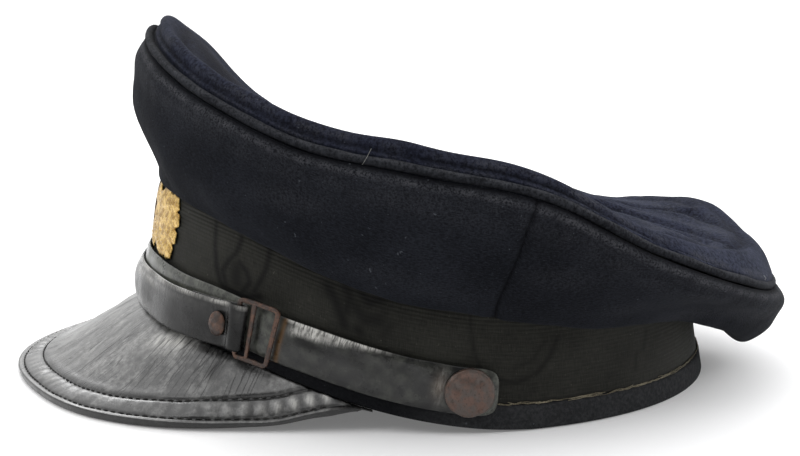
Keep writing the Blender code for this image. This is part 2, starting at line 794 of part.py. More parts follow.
def build_wreath(finish):
    """Leaves on both sides of a plate, joined into one casting and bent round the band."""
    half_long, half_tall = BADGE_WIDTH / 2, BADGE_HEIGHT / 2
    top = GAP + BADGE_THICK * 0.5

    def plates(model):
        flat_block(model, BOSS_WIDTH * 0.62, half_tall * 0.96, 12, GAP, top)

    def bar(model):
        flat_block(model, half_long * 0.86, half_tall * 0.40, 8, GAP, top * 0.9)

    parts = [flat_piece("badge_wreath", plates), flat_piece("badge_bar", bar)]
    for side in (1, -1):
        for along, up, turn in LEAVES:
            way = math.radians(turn) if side > 0 else math.pi - math.radians(turn)
            place = (side * along * half_long, up * half_tall)
            parts.append(flat_piece("badge_leaf", lambda model: leaf(model, *place, way)))
    body = parts[0]
    for part in parts[1:]:
        join = body.modifiers.new("join", "BOOLEAN")
        join.operation = "UNION"
        join.object = part
    view = bpy.context.evaluated_depsgraph_get()
    flat = bpy.data.meshes.new_from_object(body.evaluated_get(view))
    for part in parts:
        bpy.data.objects.remove(part, do_unlink=True)
    model = bmesh.new()
    model.from_mesh(flat)
    for cut in np.linspace(-half_long, half_long, BADGE_CUTS + 2)[1:-1]:
        everything = model.verts[:] + model.edges[:] + model.faces[:]
        bmesh.ops.bisect_plane(
            model, geom=everything, dist=1e-4, plane_co=(cut, 0, 0), plane_no=(1, 0, 0)
        )
    points = [BADGE_LINE.point(*vertex.co) for vertex in model.verts]
    faces = [[vertex.index for vertex in face.verts] for face in model.faces]
    model.free()
    return make_object("badge_wreath", points, faces, finish)


def build_boss(finish):
    """Plain domed oval in the middle of the badge."""
    base = GAP + BADGE_THICK * 0.5 + GAP
    profile = [(1.0, base), (1.0, base + 0.4), (0.8, base + BOSS_DOME * 0.75), (0.4, base + BOSS_DOME)]
    return round_object("badge_boss", BADGE_LINE, 0.0, BOSS_WIDTH, BADGE_HEIGHT * 0.9, profile, finish)


def centre_on_table():
    """Move every piece so that the origin is under the middle of the whole cap."""
    pieces = list(bpy.context.scene.objects)
    corners = np.array([vertex.co for piece in pieces for vertex in piece.data.vertices])
    middle = (corners.min(axis=0) + corners.max(axis=0)) / 2
    for piece in pieces:
        for vertex in piece.data.vertices:
            vertex.co.x -= middle[0]
            vertex.co.y -= middle[1]
            vertex.co.z -= corners[:, 2].min()


def main():
    for old in list(bpy.data.objects):
        bpy.data.objects.remove(old, do_unlink=True)
    build_band(RIBBON)
    build_welt(WOOL)
    crown_wall("crown_side_front", -SEAM_ANGLE, SEAM_ANGLE, WOOL)
    crown_wall("crown_side_rear", SEAM_ANGLE, 360.0 - SEAM_ANGLE, WOOL)
    build_piping(WOOL)
    build_top(WOOL)
    build_peak(LEATHER)
    build_under_strap(LEATHER)
    build_over_strap(LEATHER)
    for side, sign in (("left", 1), ("right", -1)):
        build_buckle("buckle_" + side, sign, RUSTED_STEEL)
        build_stud("stud_" + side, sign, BROWN_METAL)
        build_button("button_" + side, sign, BROWN_METAL)
    build_wreath(GILT)
    build_boss(DARK_BRONZE)
    centre_on_table()


main()
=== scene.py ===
import math

import bmesh
import bpy
import numpy as np
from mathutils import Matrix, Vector


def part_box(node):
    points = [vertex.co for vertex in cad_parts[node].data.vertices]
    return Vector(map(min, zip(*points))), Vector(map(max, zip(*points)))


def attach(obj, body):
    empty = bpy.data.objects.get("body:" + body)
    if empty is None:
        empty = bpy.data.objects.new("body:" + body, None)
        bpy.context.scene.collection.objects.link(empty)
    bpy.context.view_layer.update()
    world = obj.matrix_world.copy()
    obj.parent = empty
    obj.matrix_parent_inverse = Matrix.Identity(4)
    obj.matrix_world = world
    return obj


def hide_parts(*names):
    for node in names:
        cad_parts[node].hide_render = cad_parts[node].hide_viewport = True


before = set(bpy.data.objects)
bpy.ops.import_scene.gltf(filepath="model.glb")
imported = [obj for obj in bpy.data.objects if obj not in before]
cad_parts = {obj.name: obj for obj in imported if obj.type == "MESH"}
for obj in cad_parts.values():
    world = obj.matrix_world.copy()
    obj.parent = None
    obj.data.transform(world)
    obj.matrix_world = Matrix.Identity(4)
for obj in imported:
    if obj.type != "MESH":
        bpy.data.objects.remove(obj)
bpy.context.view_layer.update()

MM = 0.001
LOW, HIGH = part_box("band")
# Middle of the ring round the head, on the table, in metres
CENTRE = np.array([(LOW.x + HIGH.x) / 2, (LOW.y + HIGH.y) / 2, 0.0])
# UV coordinates are lengths along the cloth or leather, in units of this many millimetres
UV_UNIT = 100.0

# Sizes in millimetres, as in the part's source
GAP = 0.3
RING_LENGTH = 202.0
RING_WIDTH = 180.0
FRONT_LIFT = 26.0
BAND_TOP = 45.0
BAND_WALL = 2.4
LEAN_AT_ENDS = 7.5
LEAN_AT_SIDES = 3.0
WELT_HEIGHT = 8.0
WELT_PROUD = 0.8
WELT_WALL = 3.6
CLOTH = 1.6
CROWN_RISE = 48.0
CROWN_SLUMP = 26.0
CROWN_DROOP = 35.0
CROWN_FOLD_OUT = 25.0
CROWN_BULGE = 5.5
CROWN_OVER_FRONT = -4.0
CROWN_OVER_SIDES = 18.0
CROWN_OVER_REAR = 23.7
SEAM_ANGLE = 99.0
HEM_TURN_START = 6.0
HEM_TURN = 16.0
SLUMP_DROP = 0.2
SLUMP_REACH = 0.14
SLUMP_UNDER = 0.05
SLUMP_BULGE = 0.5
PIPING_DIAMETER = 3.0
TOP_PUFF = 6.0
TOP_CENTRE_RISE = 21.0
TOP_FOLD = 4.0
TOP_DISH = 1.5
PEAK_LENGTH = 48.0
PEAK_WALL = 3.0
PEAK_HOLLOW = 2.6
PEAK_RIM = 2.55
PEAK_TUCK = 1.6
STRAP_WIDTH = 15.0
STRAP_WALL = 1.2
STRAP_STEP = 5.0
STRAP_CUP = 1.9
BUTTON_ANGLE = 97.0
BUTTON_UP = 12.0
STRAP_END = 8.6
BUCKLE_ANGLE = 58.3
BUCKLE_LENGTH = 14.0
BUCKLE_BAR = 1.6
BUCKLE_THICK = 1.2
BUCKLE_BAR_STEP = 4.7
STRAP_CLEAR = 0.65
STUD_STEP = 13.5
STUD_WIDTH = 6.4
STUD_HEIGHT = 8.0
STUD_DOME = 1.5
FOLD_TAIL = 22.0
BUTTON_DIAMETER = 15.4
BUTTON_THICK = 2.8
BADGE_WIDTH = 92.0
BADGE_HEIGHT = 21.5
BADGE_THICK = 1.2
BADGE_CLEAR = 0.6
BOSS_WIDTH = 16.0
BOSS_DOME = 1.0


def table(columns, rows):
    """Turn rows of numbers into one array for each named column."""
    return {name: np.array(values, float) for name, values in zip(columns, zip(*rows))}


FOOT = table(
    ("place", "lift"),
    (
        (-1.00, 1.000),
        (-0.82, 0.935),
        (-0.62, 0.795),
        (-0.40, 0.540),
        (-0.20, 0.315),
        (0.00, 0.145),
        (0.18, 0.040),
        (0.32, 0.000),
        (1.00, 0.000),
    ),
)
CROWN = table(
    ("angle", "rise", "slump", "hem", "drop", "under_out", "fold_out", "fold_up", "bulge", "puff"),
    (
        (0.0, 1.040, 0.00, 0.00, -0.06, 0.060, 0.11, 0.13, 1.35, 1.10),
        (20.0, 0.920, 0.17, 0.02, 0.03, 0.080, 0.15, 0.13, 1.05, 1.20),
        (40.0, 0.745, 0.66, 0.05, 0.07, 0.130, 0.25, 0.10, 0.75, 1.05),
        (60.0, 0.630, 1.00, 0.10, 0.15, 0.150, 0.30, 0.11, 0.60, 0.95),
        (80.0, 0.690, 1.00, 0.14, 0.23, 0.165, 0.34, 0.11, 0.55, 0.92),
        (100.0, 0.660, 1.00, 0.16, 0.24, 0.200, 0.42, 0.13, 0.55, 0.75),
        (120.0, 0.290, 0.78, 0.27, 0.38, 0.280, 0.58, 0.17, 0.55, 0.60),
        (140.0, 0.000, 0.12, 0.38, 0.46, 0.370, 0.74, 0.20, 0.60, 0.90),
        (160.0, -0.196, -0.20, 0.42, 0.75, 0.690, 0.93, 0.20, 0.58, 1.40),
        (180.0, -0.250, 0.00, 0.44, 1.06, 0.720, 1.07, 0.27, 0.72, 1.65),
    ),
)
TOP = table(
    ("place", "puff", "fold"),
    (
        (0.28, 0.00, 0.3),
        (0.50, 0.00, 0.8),
        (0.68, 0.15, 1.0),
        (0.82, 0.62, 0.8),
        (0.90, 1.00, 0.3),
        (0.96, 0.98, 0.0),
        (0.98, 0.76, 0.0),
        (1.00, 0.00, 0.0),
    ),
)
# Folds and hollows of the top panel: angle and width in degrees, share of TOP_FOLD
FOLDS = (
    (40.0, 26.0, -2.2),
    (118.0, 9.0, -0.7),
    (134.0, 8.0, 0.9),
    (150.0, 7.0, -0.8),
    (166.0, 8.0, 0.8),
    (196.0, 9.0, -0.6),
    (214.0, 13.0, -0.8),
    (246.0, 14.0, -0.4),
    (337.0, 22.0, -1.6),
)
PEAK = table(
    ("angle", "reach", "rim"),
    (
        (0.0, 1.000, 0.00),
        (20.0, 0.870, 0.00),
        (35.0, 0.735, 0.00),
        (48.0, 0.515, 0.00),
        (58.0, 0.300, 0.00),
        (65.0, 0.180, 0.05),
        (70.0, 0.125, 0.28),
        (75.0, 0.083, 0.56),
        (80.0, 0.055, 0.80),
    ),
)
STRAP = table(
    ("angle", "climb", "step"),
    (
        (0.0, 0.00, 1.00),
        (20.0, 0.00, 1.00),
        (38.0, 0.12, 0.76),
        (48.0, 0.38, 0.58),
        (58.0, 0.86, 0.05),
        (70.0, 1.05, 0.00),
        (97.0, 1.00, 0.00),
        (120.0, 1.00, 0.00),
    ),
)


def smooth(xs, ys, x, flat_ends=True):
    """Read ys at every x with a curve that passes through each row without a corner."""
    slopes = np.gradient(ys, xs)
    if flat_ends:
        slopes[0] = slopes[-1] = 0.0
    x = np.asarray(x, float)
    i = np.clip(np.searchsorted(xs, x) - 1, 0, len(xs) - 2)
    span = xs[i + 1] - xs[i]
    s = np.clip((x - xs[i]) / span, 0.0, 1.0)
    start = ys[i] * (1 + 2 * s) * (1 - s) ** 2 + slopes[i] * span * s * (1 - s) ** 2
    end = ys[i + 1] * s * s * (3 - 2 * s) - slopes[i + 1] * span * s * s * (1 - s)
    return start + end


def read(rows, column, angle):
    """Read a column of a table by angle, the same on both sides."""
    around = np.mod(angle, 360.0)
    return smooth(rows["angle"], rows[column], np.minimum(around, 360.0 - around))


def sine(angle):
    return np.sin(np.radians(angle))


def cosine(angle):
    return np.cos(np.radians(angle))


def unit(vectors):
    """Vectors of length 1, or 0 where a vector has no length."""
    lengths = np.linalg.norm(vectors, axis=-1, keepdims=True)
    return vectors / np.maximum(lengths, 1e-12)


def vector(x, y, z):
    """Points from arrays of x, y and z."""
    return np.stack(np.broadcast_arrays(x, y, z), axis=-1).astype(float)


def foot_height(angle):
    return FRONT_LIFT * np.maximum(smooth(FOOT["place"], FOOT["lift"], -cosine(angle)), 0.0)


def ring_normal(angle):
    return unit(vector(RING_LENGTH * sine(angle), -RING_WIDTH * cosine(angle), 0.0))


def wall_point(angle, up, out):
    """Points by the band: up from its foot, and out from its outer face."""
    share = cosine(angle) ** 2
    lean = LEAN_AT_ENDS * share + LEAN_AT_SIDES * (1 - share)
    outward = np.asarray(out - lean * up / BAND_TOP)
    plan = vector(RING_WIDTH / 2 * sine(angle), -RING_LENGTH / 2 * cosine(angle), foot_height(angle) + up)
    return plan + ring_normal(angle) * outward[..., None]


class WallLine:
    """A line round the band, and places near it: along, up across it, and out."""

    def __init__(self, height):
        self.height = height
        self.angles = np.linspace(-125.0, 125.0, 501)
        points = wall_point(self.angles, height(self.angles), 0.0)
        steps = np.linalg.norm(np.diff(points, axis=0), axis=1)
        lengths = np.concatenate([[0.0], np.cumsum(steps)])
        self.lengths = lengths - np.interp(0.0, self.angles, lengths)

    def along(self, angle):
        return float(np.interp(angle, self.angles, self.lengths))

    def point(self, along, up, out):
        along, up, out = (np.asarray(v, float) for v in np.broadcast_arrays(along, up, out))
        angle = np.interp(along, self.lengths, self.angles)
        middle = wall_point(angle, self.height(angle), 0.0)
        ahead = wall_point(angle + 0.5, self.height(angle + 0.5), 0.0)
        behind = wall_point(angle - 0.5, self.height(angle - 0.5), 0.0)
        forward = unit(ahead - behind)
        rising = wall_point(angle, self.height(angle) + 1.0, 0.0) - middle
        outward = unit(np.cross(forward, rising))
        across = np.cross(outward, forward)
        return middle + across * up[..., None] + outward * out[..., None]


def over_height(angle):
    at_front = STRAP_WIDTH / 2 - GAP
    return at_front + (BUTTON_UP - at_front) * read(STRAP, "climb", angle)


def under_height(angle):
    return over_height(angle) + STRAP_STEP * read(STRAP, "step", angle)


def badge_height(angle):
    strap_top = under_height(0.0) + STRAP_WIDTH / 2
    return strap_top + BADGE_CLEAR + BADGE_HEIGHT / 2 + 0.0 * np.asarray(angle)


OVER_LINE = WallLine(over_height)
UNDER_LINE = WallLine(under_height)
BADGE_LINE = WallLine(badge_height)
UNDER_OUT = WELT_PROUD + GAP + STRAP_WALL / 2
BACK_OUT = UNDER_OUT + STRAP_WALL + GAP
BUCKLE_OUT = BACK_OUT + STRAP_WALL / 2 + GAP + BUCKLE_THICK / 2
FRONT_OUT = 2 * BUCKLE_OUT - BACK_OUT
STUD_OUT = BACK_OUT + STRAP_WALL + GAP


def sagging(angle):
    return np.where(sine(angle) < 0, np.maximum(read(CROWN, "slump", angle), 0.0), 0.0)


def piping_point(angle):
    """Middle of the cord between the crown's sides and its top."""
    front = RING_LENGTH / 2 + CROWN_OVER_FRONT
    rear = RING_LENGTH / 2 + CROWN_OVER_REAR
    x = (RING_WIDTH / 2 + CROWN_OVER_SIDES) * sine(angle)
    y = (rear - front) / 2 - (rear + front) / 2 * cosine(angle)
    z = foot_height(angle) + BAND_TOP + CROWN_RISE * read(CROWN, "rise", angle)
    z = z - np.where(sine(angle) < 0, CROWN_SLUMP * read(CROWN, "slump", angle), 0.0)
    return vector(x, y, z)


def piping_frame(angle):
    """Middle of the piping, its outward direction and the direction over it."""
    forward = unit(piping_point(angle + 0.5) - piping_point(angle - 0.5))
    outward = unit(np.cross(forward, [0.0, 0.0, 1.0]))
    return piping_point(angle), outward, np.cross(outward, forward)


def signed(angle):
    """The same angle, from -180 to 180 degrees."""
    return np.mod(angle + 180.0, 360.0) - 180.0


def ramp(x, start, length):
    """From 0 at a start to 1 a length further on, or back where the length is below 0."""
    return np.clip((x - start) / length, 0, 1)


def ease(angle):
    share = ramp(np.abs(signed(angle)), HEM_TURN_START, HEM_TURN)
    return share * share * (3 - 2 * share)


def spline(points, places):
    """Points at shares of the way along a smooth curve through the given ones."""
    chords = np.linalg.norm(np.diff(points, axis=0), axis=1)
    lengths = np.concatenate([[0.0], np.cumsum(chords)])
    return np.stack([smooth(lengths, points[:, k], places * lengths[-1], False) for k in range(3)], -1)


def grid_normals(grid, closed=False):
    """Unit normals of a grid of points, on the side of rows crossed with columns."""
    if closed:
        along = np.roll(grid, -1, axis=0) - np.roll(grid, 1, axis=0)
    else:
        along = np.gradient(grid, axis=0)
    return unit(np.cross(along, np.gradient(grid, axis=1)))


def hump(x, centre, width):
    """A smooth rise to 1 about a centre."""
    return np.exp(-(((x - centre) / width) ** 2))


def ripple(a, b, seed, count=5):
    """Gentle uneven waves over two coordinates in millimetres, from about -1 to 1."""
    source = np.random.default_rng(seed)
    total = np.zeros(np.broadcast(a, b).shape)
    for _ in range(count):
        length = source.uniform(0.6, 1.6)
        turn = source.uniform(0, math.pi)
        phase = source.uniform(0, 6.28)
        total += np.sin((a * math.cos(turn) + b * math.sin(turn)) * 6.28 / length + phase)
    return total / count * 1.6


def mottle(a, b, seed, contrast=1.6):
    """Blotches from 0 to 1 over two coordinates in millimetres."""
    return 0.5 + 0.5 * np.clip(contrast * ripple(a, b, seed, 6), -1, 1)


def line_ripple(a, seed, count=5):
    return ripple(a, 0 * a, seed, count)


def grid_lengths(grid, axis):
    """Distance along the rows or columns of a grid, from its first point."""
    steps = np.linalg.norm(np.diff(grid, axis=axis), axis=2)
    start = np.zeros_like(np.take(steps, [0], axis=axis))
    return np.concatenate([start, np.cumsum(steps, axis=axis)], axis=axis)


def stroke_mask(u, v, strokes):
    """How dark each place is under soft strokes, from 0 to 1."""
    mask = np.zeros(np.broadcast(u, v).shape)
    for points, width, strength in strokes:
        for (ax, ay), (bx, by) in zip(points[:-1], points[1:]):
            dx, dy = bx - ax, by - ay
            t = np.clip(((u - ax) * dx + (v - ay) * dy) / (dx * dx + dy * dy), 0, 1)
            away = np.hypot(u - ax - t * dx, v - ay - t * dy)
            mask = np.maximum(mask, strength * np.exp(-((away / width) ** 2)))
    return mask


# Meshes

def section_faces(rows, count, closed=False, ladder=False, joined=True):
    """Faces of a run of sections, as the row and place of each corner before they wrap round.

    The sections are closed where joined. The ends of an open run of closed sections get one
    face each, or a ladder of faces.
    """
    i, j = np.meshgrid(np.arange(rows - (not closed)), np.arange(count - (not joined)), indexing="ij")
    faces = np.stack([i, j, i + 1, j, i + 1, j + 1, i, j + 1], -1).reshape(-1, 4, 2).tolist()
    for row in () if closed else (0, rows - 1):
        if ladder:
            for k in range((count - 1) // 2):
                rung = dict.fromkeys((k, k + 1, count - 2 - k, count - 1 - k))
                faces.append([[row, place] for place in rung])
        else:
            faces.append([[row, place] for place in range(count)])
    return faces


def numbered(faces, rows, count):
    """The same faces, as numbers of points."""
    return [[i % rows * count + j % count for i, j in face] for face in faces]


def solid_shape(loops, closed=False, ladder=False):
    """Points and faces of a small solid from rows of closed sections."""
    rows, count = loops.shape[:2]
    return loops.reshape(-1, 3), numbered(section_faces(rows, count, closed, ladder), rows, count)


def build(name, points, faces, uvs, material, sharp=None):
    """An object from points in millimetres about the ring's middle."""
    mesh = bpy.data.meshes.new(name)
    mesh.from_pydata((np.asarray(points) * MM + CENTRE).tolist(), [], faces)
    layer = mesh.uv_layers.new(name="UVMap")
    layer.data.foreach_set("uv", (np.asarray(uvs, float) / UV_UNIT).ravel())
    model = bmesh.new()
    model.from_mesh(mesh)
    bmesh.ops.recalc_face_normals(model, faces=model.faces)
    model.to_mesh(mesh)
    model.free()
    mesh.shade_smooth()
    if sharp:
        mesh.set_sharp_from_angle(angle=math.radians(sharp))
    mesh.materials.append(material)
    piece = bpy.data.objects.new(name, mesh)
    bpy.context.collection.objects.link(piece)
    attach(piece, "root")
    return piece


def build_mapped(name, points, faces, axes, material, sharp=None):
    """A piece whose UV coordinates are two of each point's three."""
    corners = [k for face in faces for k in face]
    return build(name, points, faces, points[corners][:, axes], material, sharp)


def build_sections(name, loops, u, v, material, closed=False, ladder=False, sharp=None):
    """A piece from closed sections, with a length u for each row and lengths v round them."""
    rows, count = loops.shape[:2]
    faces = section_faces(rows, count, closed, ladder)
    i, j = np.array([corner for face in faces for corner in face]).T
    uvs = np.stack([u[i], np.broadcast_to(v, (rows, count + 1))[i % rows, j]], -1)
    return build(name, loops.reshape(-1, 3), numbered(faces, rows, count), uvs, material, sharp)


def build_joined(name, shapes, material):
    """One piece from many small solids."""
    points, faces, base = [], [], 0
    for shape_points, shape_faces in shapes:
        points.append(shape_points)
        faces += [[base + k for k in face] for face in shape_faces]
        base += len(shape_points)
    return build_mapped(name, np.concatenate(points), faces, (1, 2), material)


def paint(piece, rows, first=0, most=1.0, **marks):
    """Keep numbers for a piece's material to read, for a run of points in each row."""
    for name, values in marks.items():
        whole = np.zeros(len(piece.data.vertices), np.float32)
        grid = whole[:len(whole) // rows * rows].reshape(rows, -1)
        grid[:, first:first + values.shape[1]] = np.clip(values, 0, most)
        made = piece.data.attributes.new(name, "FLOAT", "POINT")
        made.data.foreach_set("value", whole)


def rounded_loops(outer, inner, bulge, steps=3):
    """Closed sections from two faces, with both of their edges rounded."""
    arcs = []
    for face, back, near in (
        (outer[:, -1], inner[:, -1], outer[:, -2]), (inner[:, 0], outer[:, 0], inner[:, 1]),
    ):
        away, middle, half = unit(face - near), (face + back) / 2, (face - back) / 2
        turns = math.pi * np.arange(1, steps + 1) / (steps + 1)
        arcs.append(np.stack([
            middle + half * math.cos(turn) + away * bulge * math.sin(turn) for turn in turns
        ], 1))
    return np.concatenate([outer, arcs[0], inner[:, ::-1], arcs[1]], axis=1)


def wall(name, outer, inner, material, bulge, u, v, closed=False):
    """A wall between two grids of points, closed into a ring or left as a panel."""
    if closed:
        u = np.append(u, u[-1] + u[1] - u[0])
    steps = CLOTH * np.array([[0.25, 0.5, 0.75]])
    last = v[:, -1:]
    back = last + CLOTH + last - v[:, :1]
    around = [v, last + steps, last + CLOTH + last - v[:, ::-1], back + steps, back + CLOTH]
    v = np.concatenate(around, axis=1)
    return build_sections(name, rounded_loops(outer, inner, bulge), u, v, material, closed, True)


def round_section(turns, first, second):
    """Directions round a path, between two that are square to it."""
    return np.cos(turns)[None, :, None] * first[:, None] + np.sin(turns)[None, :, None] * second[:, None]


def tube_shape(path, radius, sides=5):
    """Points and faces of a closed thread along a path."""
    ways = unit(np.gradient(path, axis=0))
    reference = np.where(np.abs(ways[:, 2:3]) > 0.9, [[1.0, 0.0, 0.0]], [[0.0, 0.0, 1.0]])
    side = unit(np.cross(ways, reference))
    turns = np.arange(sides) * 2 * math.pi / sides
    ring = round_section(turns, side, np.cross(side, ways))
    return solid_shape(path[:, None] + ring * np.broadcast_to(radius, len(path))[:, None, None])


# Materials

class Nodes:
    """Shader nodes. Each input is a number, three numbers or a socket."""

    def __init__(self, tree):
        self.tree = tree

    def put(self, socket, value):
        if isinstance(value, bpy.types.NodeSocket):
            self.tree.links.new(value, socket)
        elif socket.type == "RGBA":
            socket.default_value = (*value, 1.0)
        else:
            socket.default_value = value

    def add(self, kind, output, inputs=None, **settings):
        """A node with its settings and inputs, of which one output is handed back."""
        made = self.tree.nodes.new("ShaderNode" + kind)
        for key, value in settings.items():
            setattr(made, key, value)
        for key, value in (inputs or {}).items():
            self.put(made.inputs[key], value)
        return made.outputs[output]

    def noise(self, scale, detail, roughness, over=None, output="Fac"):
        """Noise over the object in metres, or over other coordinates."""
        return self.add("TexNoise", output, {
            "Vector": over or self.add("TexCoord", "Object"), "Scale": scale, "Detail": detail,
            "Roughness": roughness,
        })

    def uv(self, along, across):
        """UV coordinates scaled so that a unit is the given number of millimetres."""
        return self.add("Mapping", "Vector", {
            "Vector": self.add("UVMap", "UV", uv_map="UVMap"),
            "Scale": (UV_UNIT / along, UV_UNIT / across, 1.0),
        })

    def maths(self, operation, first, second, clamp=False):
        return self.add("Math", 0, {0: first, 1: second}, operation=operation, use_clamp=clamp)

    def times(self, first, second):
        return self.maths("MULTIPLY", first, second)

    def total(self, *shares):
        """The sum of pairs, each multiplied together."""
        result = self.times(*shares[0])
        for pair in shares[1:]:
            result = self.maths("ADD", result, self.times(*pair))
        return result

    def span(self, value, low, high, to_low=0.0, to_high=1.0):
        """Map a range of a value smoothly to another range."""
        return self.add("MapRange", "Result", {
            "Value": value, "From Min": low, "From Max": high, "To Min": to_low, "To Max": to_high,
        }, interpolation_type="SMOOTHSTEP")

    def blend(self, share, first, second):
        """Mix two colours."""
        return self.add("Mix", 2, {0: share, 6: first, 7: second}, data_type="RGBA")

    def mark(self, name):
        """The number that paint kept under a name."""
        return self.add("Attribute", "Fac", attribute_name=name)


class Material(Nodes):
    """A material of nodes, with its surface's shader."""

    def __init__(self, name):
        self.data = bpy.data.materials.new(name)
        self.data.use_nodes = True
        super().__init__(self.data.node_tree)
        self.shader = self.tree.nodes["Principled BSDF"].inputs

    def surface(self, inputs):
        """Set inputs of the surface's shader, and hand the material back."""
        for key, value in inputs.items():
            self.put(self.shader[key], value)
        return self.data

    def finish(self, height, distance, strength, inputs):
        """The same, with a relief of so many millimetres."""
        relief = {"Height": height, "Distance": distance * MM, "Strength": strength}
        return self.surface({**inputs, "Normal": self.add("Bump", "Normal", relief)})


def wool(name, dark, light, blue=0.0, sheen=0.012, combed=False):
    """Fulled woollen cloth: soft nap, lint and a faint sheen, with painted highlight and painted shade
    read from marks.
    """
    m = Material(name)
    nap = m.noise(1.0, 2.0, 0.6, m.uv(1.3, 0.35)) if combed else m.noise(800.0, 2.0, 0.6)
    fuzz = m.noise(1500.0, 3.0, 0.7)
    total = m.total((nap, 0.45), (fuzz, 0.35), (m.noise(45.0, 3.0, 0.55), 0.2))
    hollow = m.mark("hollow")
    colour = m.blend(m.span(total, 0.38, 0.64), dark, light)
    # Paler where rubbed: partly worn nap, partly a painted highlight on ridges, crests and the top's rear
    colour = m.blend(m.times(m.mark("rubbed"), m.span(fuzz, 0.35, 0.62)), colour, (0.062, 0.063, 0.070))
    # Near black under the painted shade mark: shade painted into grooves, creases, hollows and under the
    # straps
    colour = m.blend(hollow, colour, (0.0022, 0.0024, 0.0034))
    lint = m.span(m.noise(700.0, 2.0, 0.5), 0.72, 0.78)
    colour = m.blend(m.times(lint, 0.4), colour, (0.12, 0.13, 0.15))
    # Less sheen inside the painted shade
    open_part = m.maths("SUBTRACT", 1.0, m.times(hollow, 1.7), clamp=True)
    return m.finish(m.total((nap, 0.6), (fuzz, 0.4)), 0.6, 0.85, {
        "Base Color": colour, "Roughness": m.span(fuzz, 0.3, 0.7, 0.85, 1.0),
        "Specular IOR Level": 0.06, "Sheen Weight": m.times(open_part, sheen),
        "Sheen Roughness": 0.45, "Sheen Tint": (0.45 - blue, 0.5, 0.62 + blue),
    })


def ribbon(name):
    """Ribbed black ribbon with a darker woven pattern."""
    m = Material(name)
    rib = m.add("TexWave", "Fac", {
        "Vector": m.uv(40.0, 4.2), "Scale": 1.0, "Distortion": 0.6, "Detail": 2.0, "Detail Scale": 1.5,
    }, wave_type="BANDS", bands_direction="Y", wave_profile="SIN")
    thread = m.noise(1.0, 2.0, 0.6, m.uv(4.0, 0.30))
    cross = m.noise(1.0, 1.0, 0.5, m.uv(0.30, 3.0))
    ribs = m.mark("ribs")
    total = m.total((thread, 0.4), (cross, 0.25), (m.noise(30.0, 3.0, 0.6), 0.35))
    colour = m.blend(m.span(total, 0.34, 0.66), (0.0085, 0.0085, 0.0072), (0.0300, 0.0300, 0.0250))
    shade = m.times(m.maths("SUBTRACT", 1.0, rib), ribs)
    colour = m.blend(m.times(shade, 0.75), colour, (0.003, 0.003, 0.002))
    fleck = m.span(m.noise(900.0, 2.0, 0.5), 0.70, 0.76)
    colour = m.blend(m.times(fleck, 0.35), colour, (0.10, 0.10, 0.08))
    motif = m.times(m.mark("motif"), m.span(cross, 0.30, 0.55, 0.75, 1.0))
    colour = m.blend(motif, colour, (0.0022, 0.0022, 0.0022))
    return m.finish(m.total((rib, ribs), (thread, 0.5), (cross, 0.3)), 0.22, 0.9, {
        "Base Color": colour, "Roughness": m.span(thread, 0.3, 0.7, 0.62, 0.85),
        "Specular IOR Level": 0.12, "Sheen Weight": 0.012,
    })


def leather(name, worn, gloss, pale, polish=0.22, cracks=0.0):
    """Black leather, glossy where it is whole and grey where its finish is worn, with painted highlight,
    reflection and shade read from marks.
    """
    m = Material(name)
    grain = m.noise(1400.0, 3.0, 0.6)
    patch = m.noise(90.0, 4.0, 0.65)
    fine = m.noise(420.0, 3.0, 0.7)
    wear = m.times(m.span(m.total((patch, 0.6), (fine, 0.4)), 0.46, 0.66), worn)
    broken = m.span(m.maths("ADD", fine, m.times(grain, 0.4)), 0.50, 0.86, 0.35, 1.0)
    # Paler where the worn mark lies: real wear, and painted highlight and reflection
    wear = m.maths("ADD", wear, m.times(m.mark("worn"), broken), clamp=True)
    split = m.span(m.noise(1.0, 3.0, 0.7, m.uv(0.8, 4.0)), 0.38, 0.58, 0.25, 1.0)
    colour = m.blend(wear, (0.0062, 0.0062, 0.0064), pale)
    # Near white where the shine mark lies: painted highlight, and pale bare leather
    colour = m.blend(m.times(m.mark("shine"), split), colour, (0.55, 0.54, 0.51))
    # Near black where the dark mark lies: mostly painted shade, also a dark blotch and a slit
    colour = m.blend(m.mark("dark"), colour, (0.003, 0.003, 0.003))
    colour = m.blend(m.mark("amber"), colour, (0.11, 0.055, 0.016))
    height = m.total((grain, 0.35), (fine, 0.5))
    if cracks:
        wander = m.noise(1.0, 2.0, 0.5, m.uv(9.0, 9.0), "Color")
        moved = m.add("VectorMath", 0, {0: wander, 1: (0.9, 0.25, 0.0)}, operation="MULTIPLY")
        moved = m.add("VectorMath", 0, {0: m.uv(2.7, 24.0), 1: moved}, operation="ADD")
        cells = {"Vector": moved, "Scale": 1.0}
        lines = m.add("TexVoronoi", "Distance", cells, feature="DISTANCE_TO_EDGE")
        some = m.span(m.noise(1.0, 2.0, 0.5, m.uv(11.0, 14.0)), 0.40, 0.55)
        line = m.times(m.times(m.span(lines, 0.0, 0.055, 1.0, 0.0), some), cracks)
        line = m.times(line, m.mark("cracked"))
        colour = m.blend(m.times(line, 0.95), colour, (0.002, 0.002, 0.002))
        height = m.maths("SUBTRACT", height, m.times(line, 1.2))
    rough = m.span(patch, 0.3, 0.7, gloss - 0.08, gloss + 0.12)
    return m.finish(height, 0.22, 0.7, {
        "Base Color": colour, "Roughness": m.maths("ADD", rough, m.times(wear, 0.22)),
        "Specular IOR Level": polish + 0.06, "Coat Roughness": 0.30,
        # Less coat under the painted shade
        "Coat Weight": m.span(m.mark("dark"), 0.0, 1.0, polish, 0.2 * polish),
    })


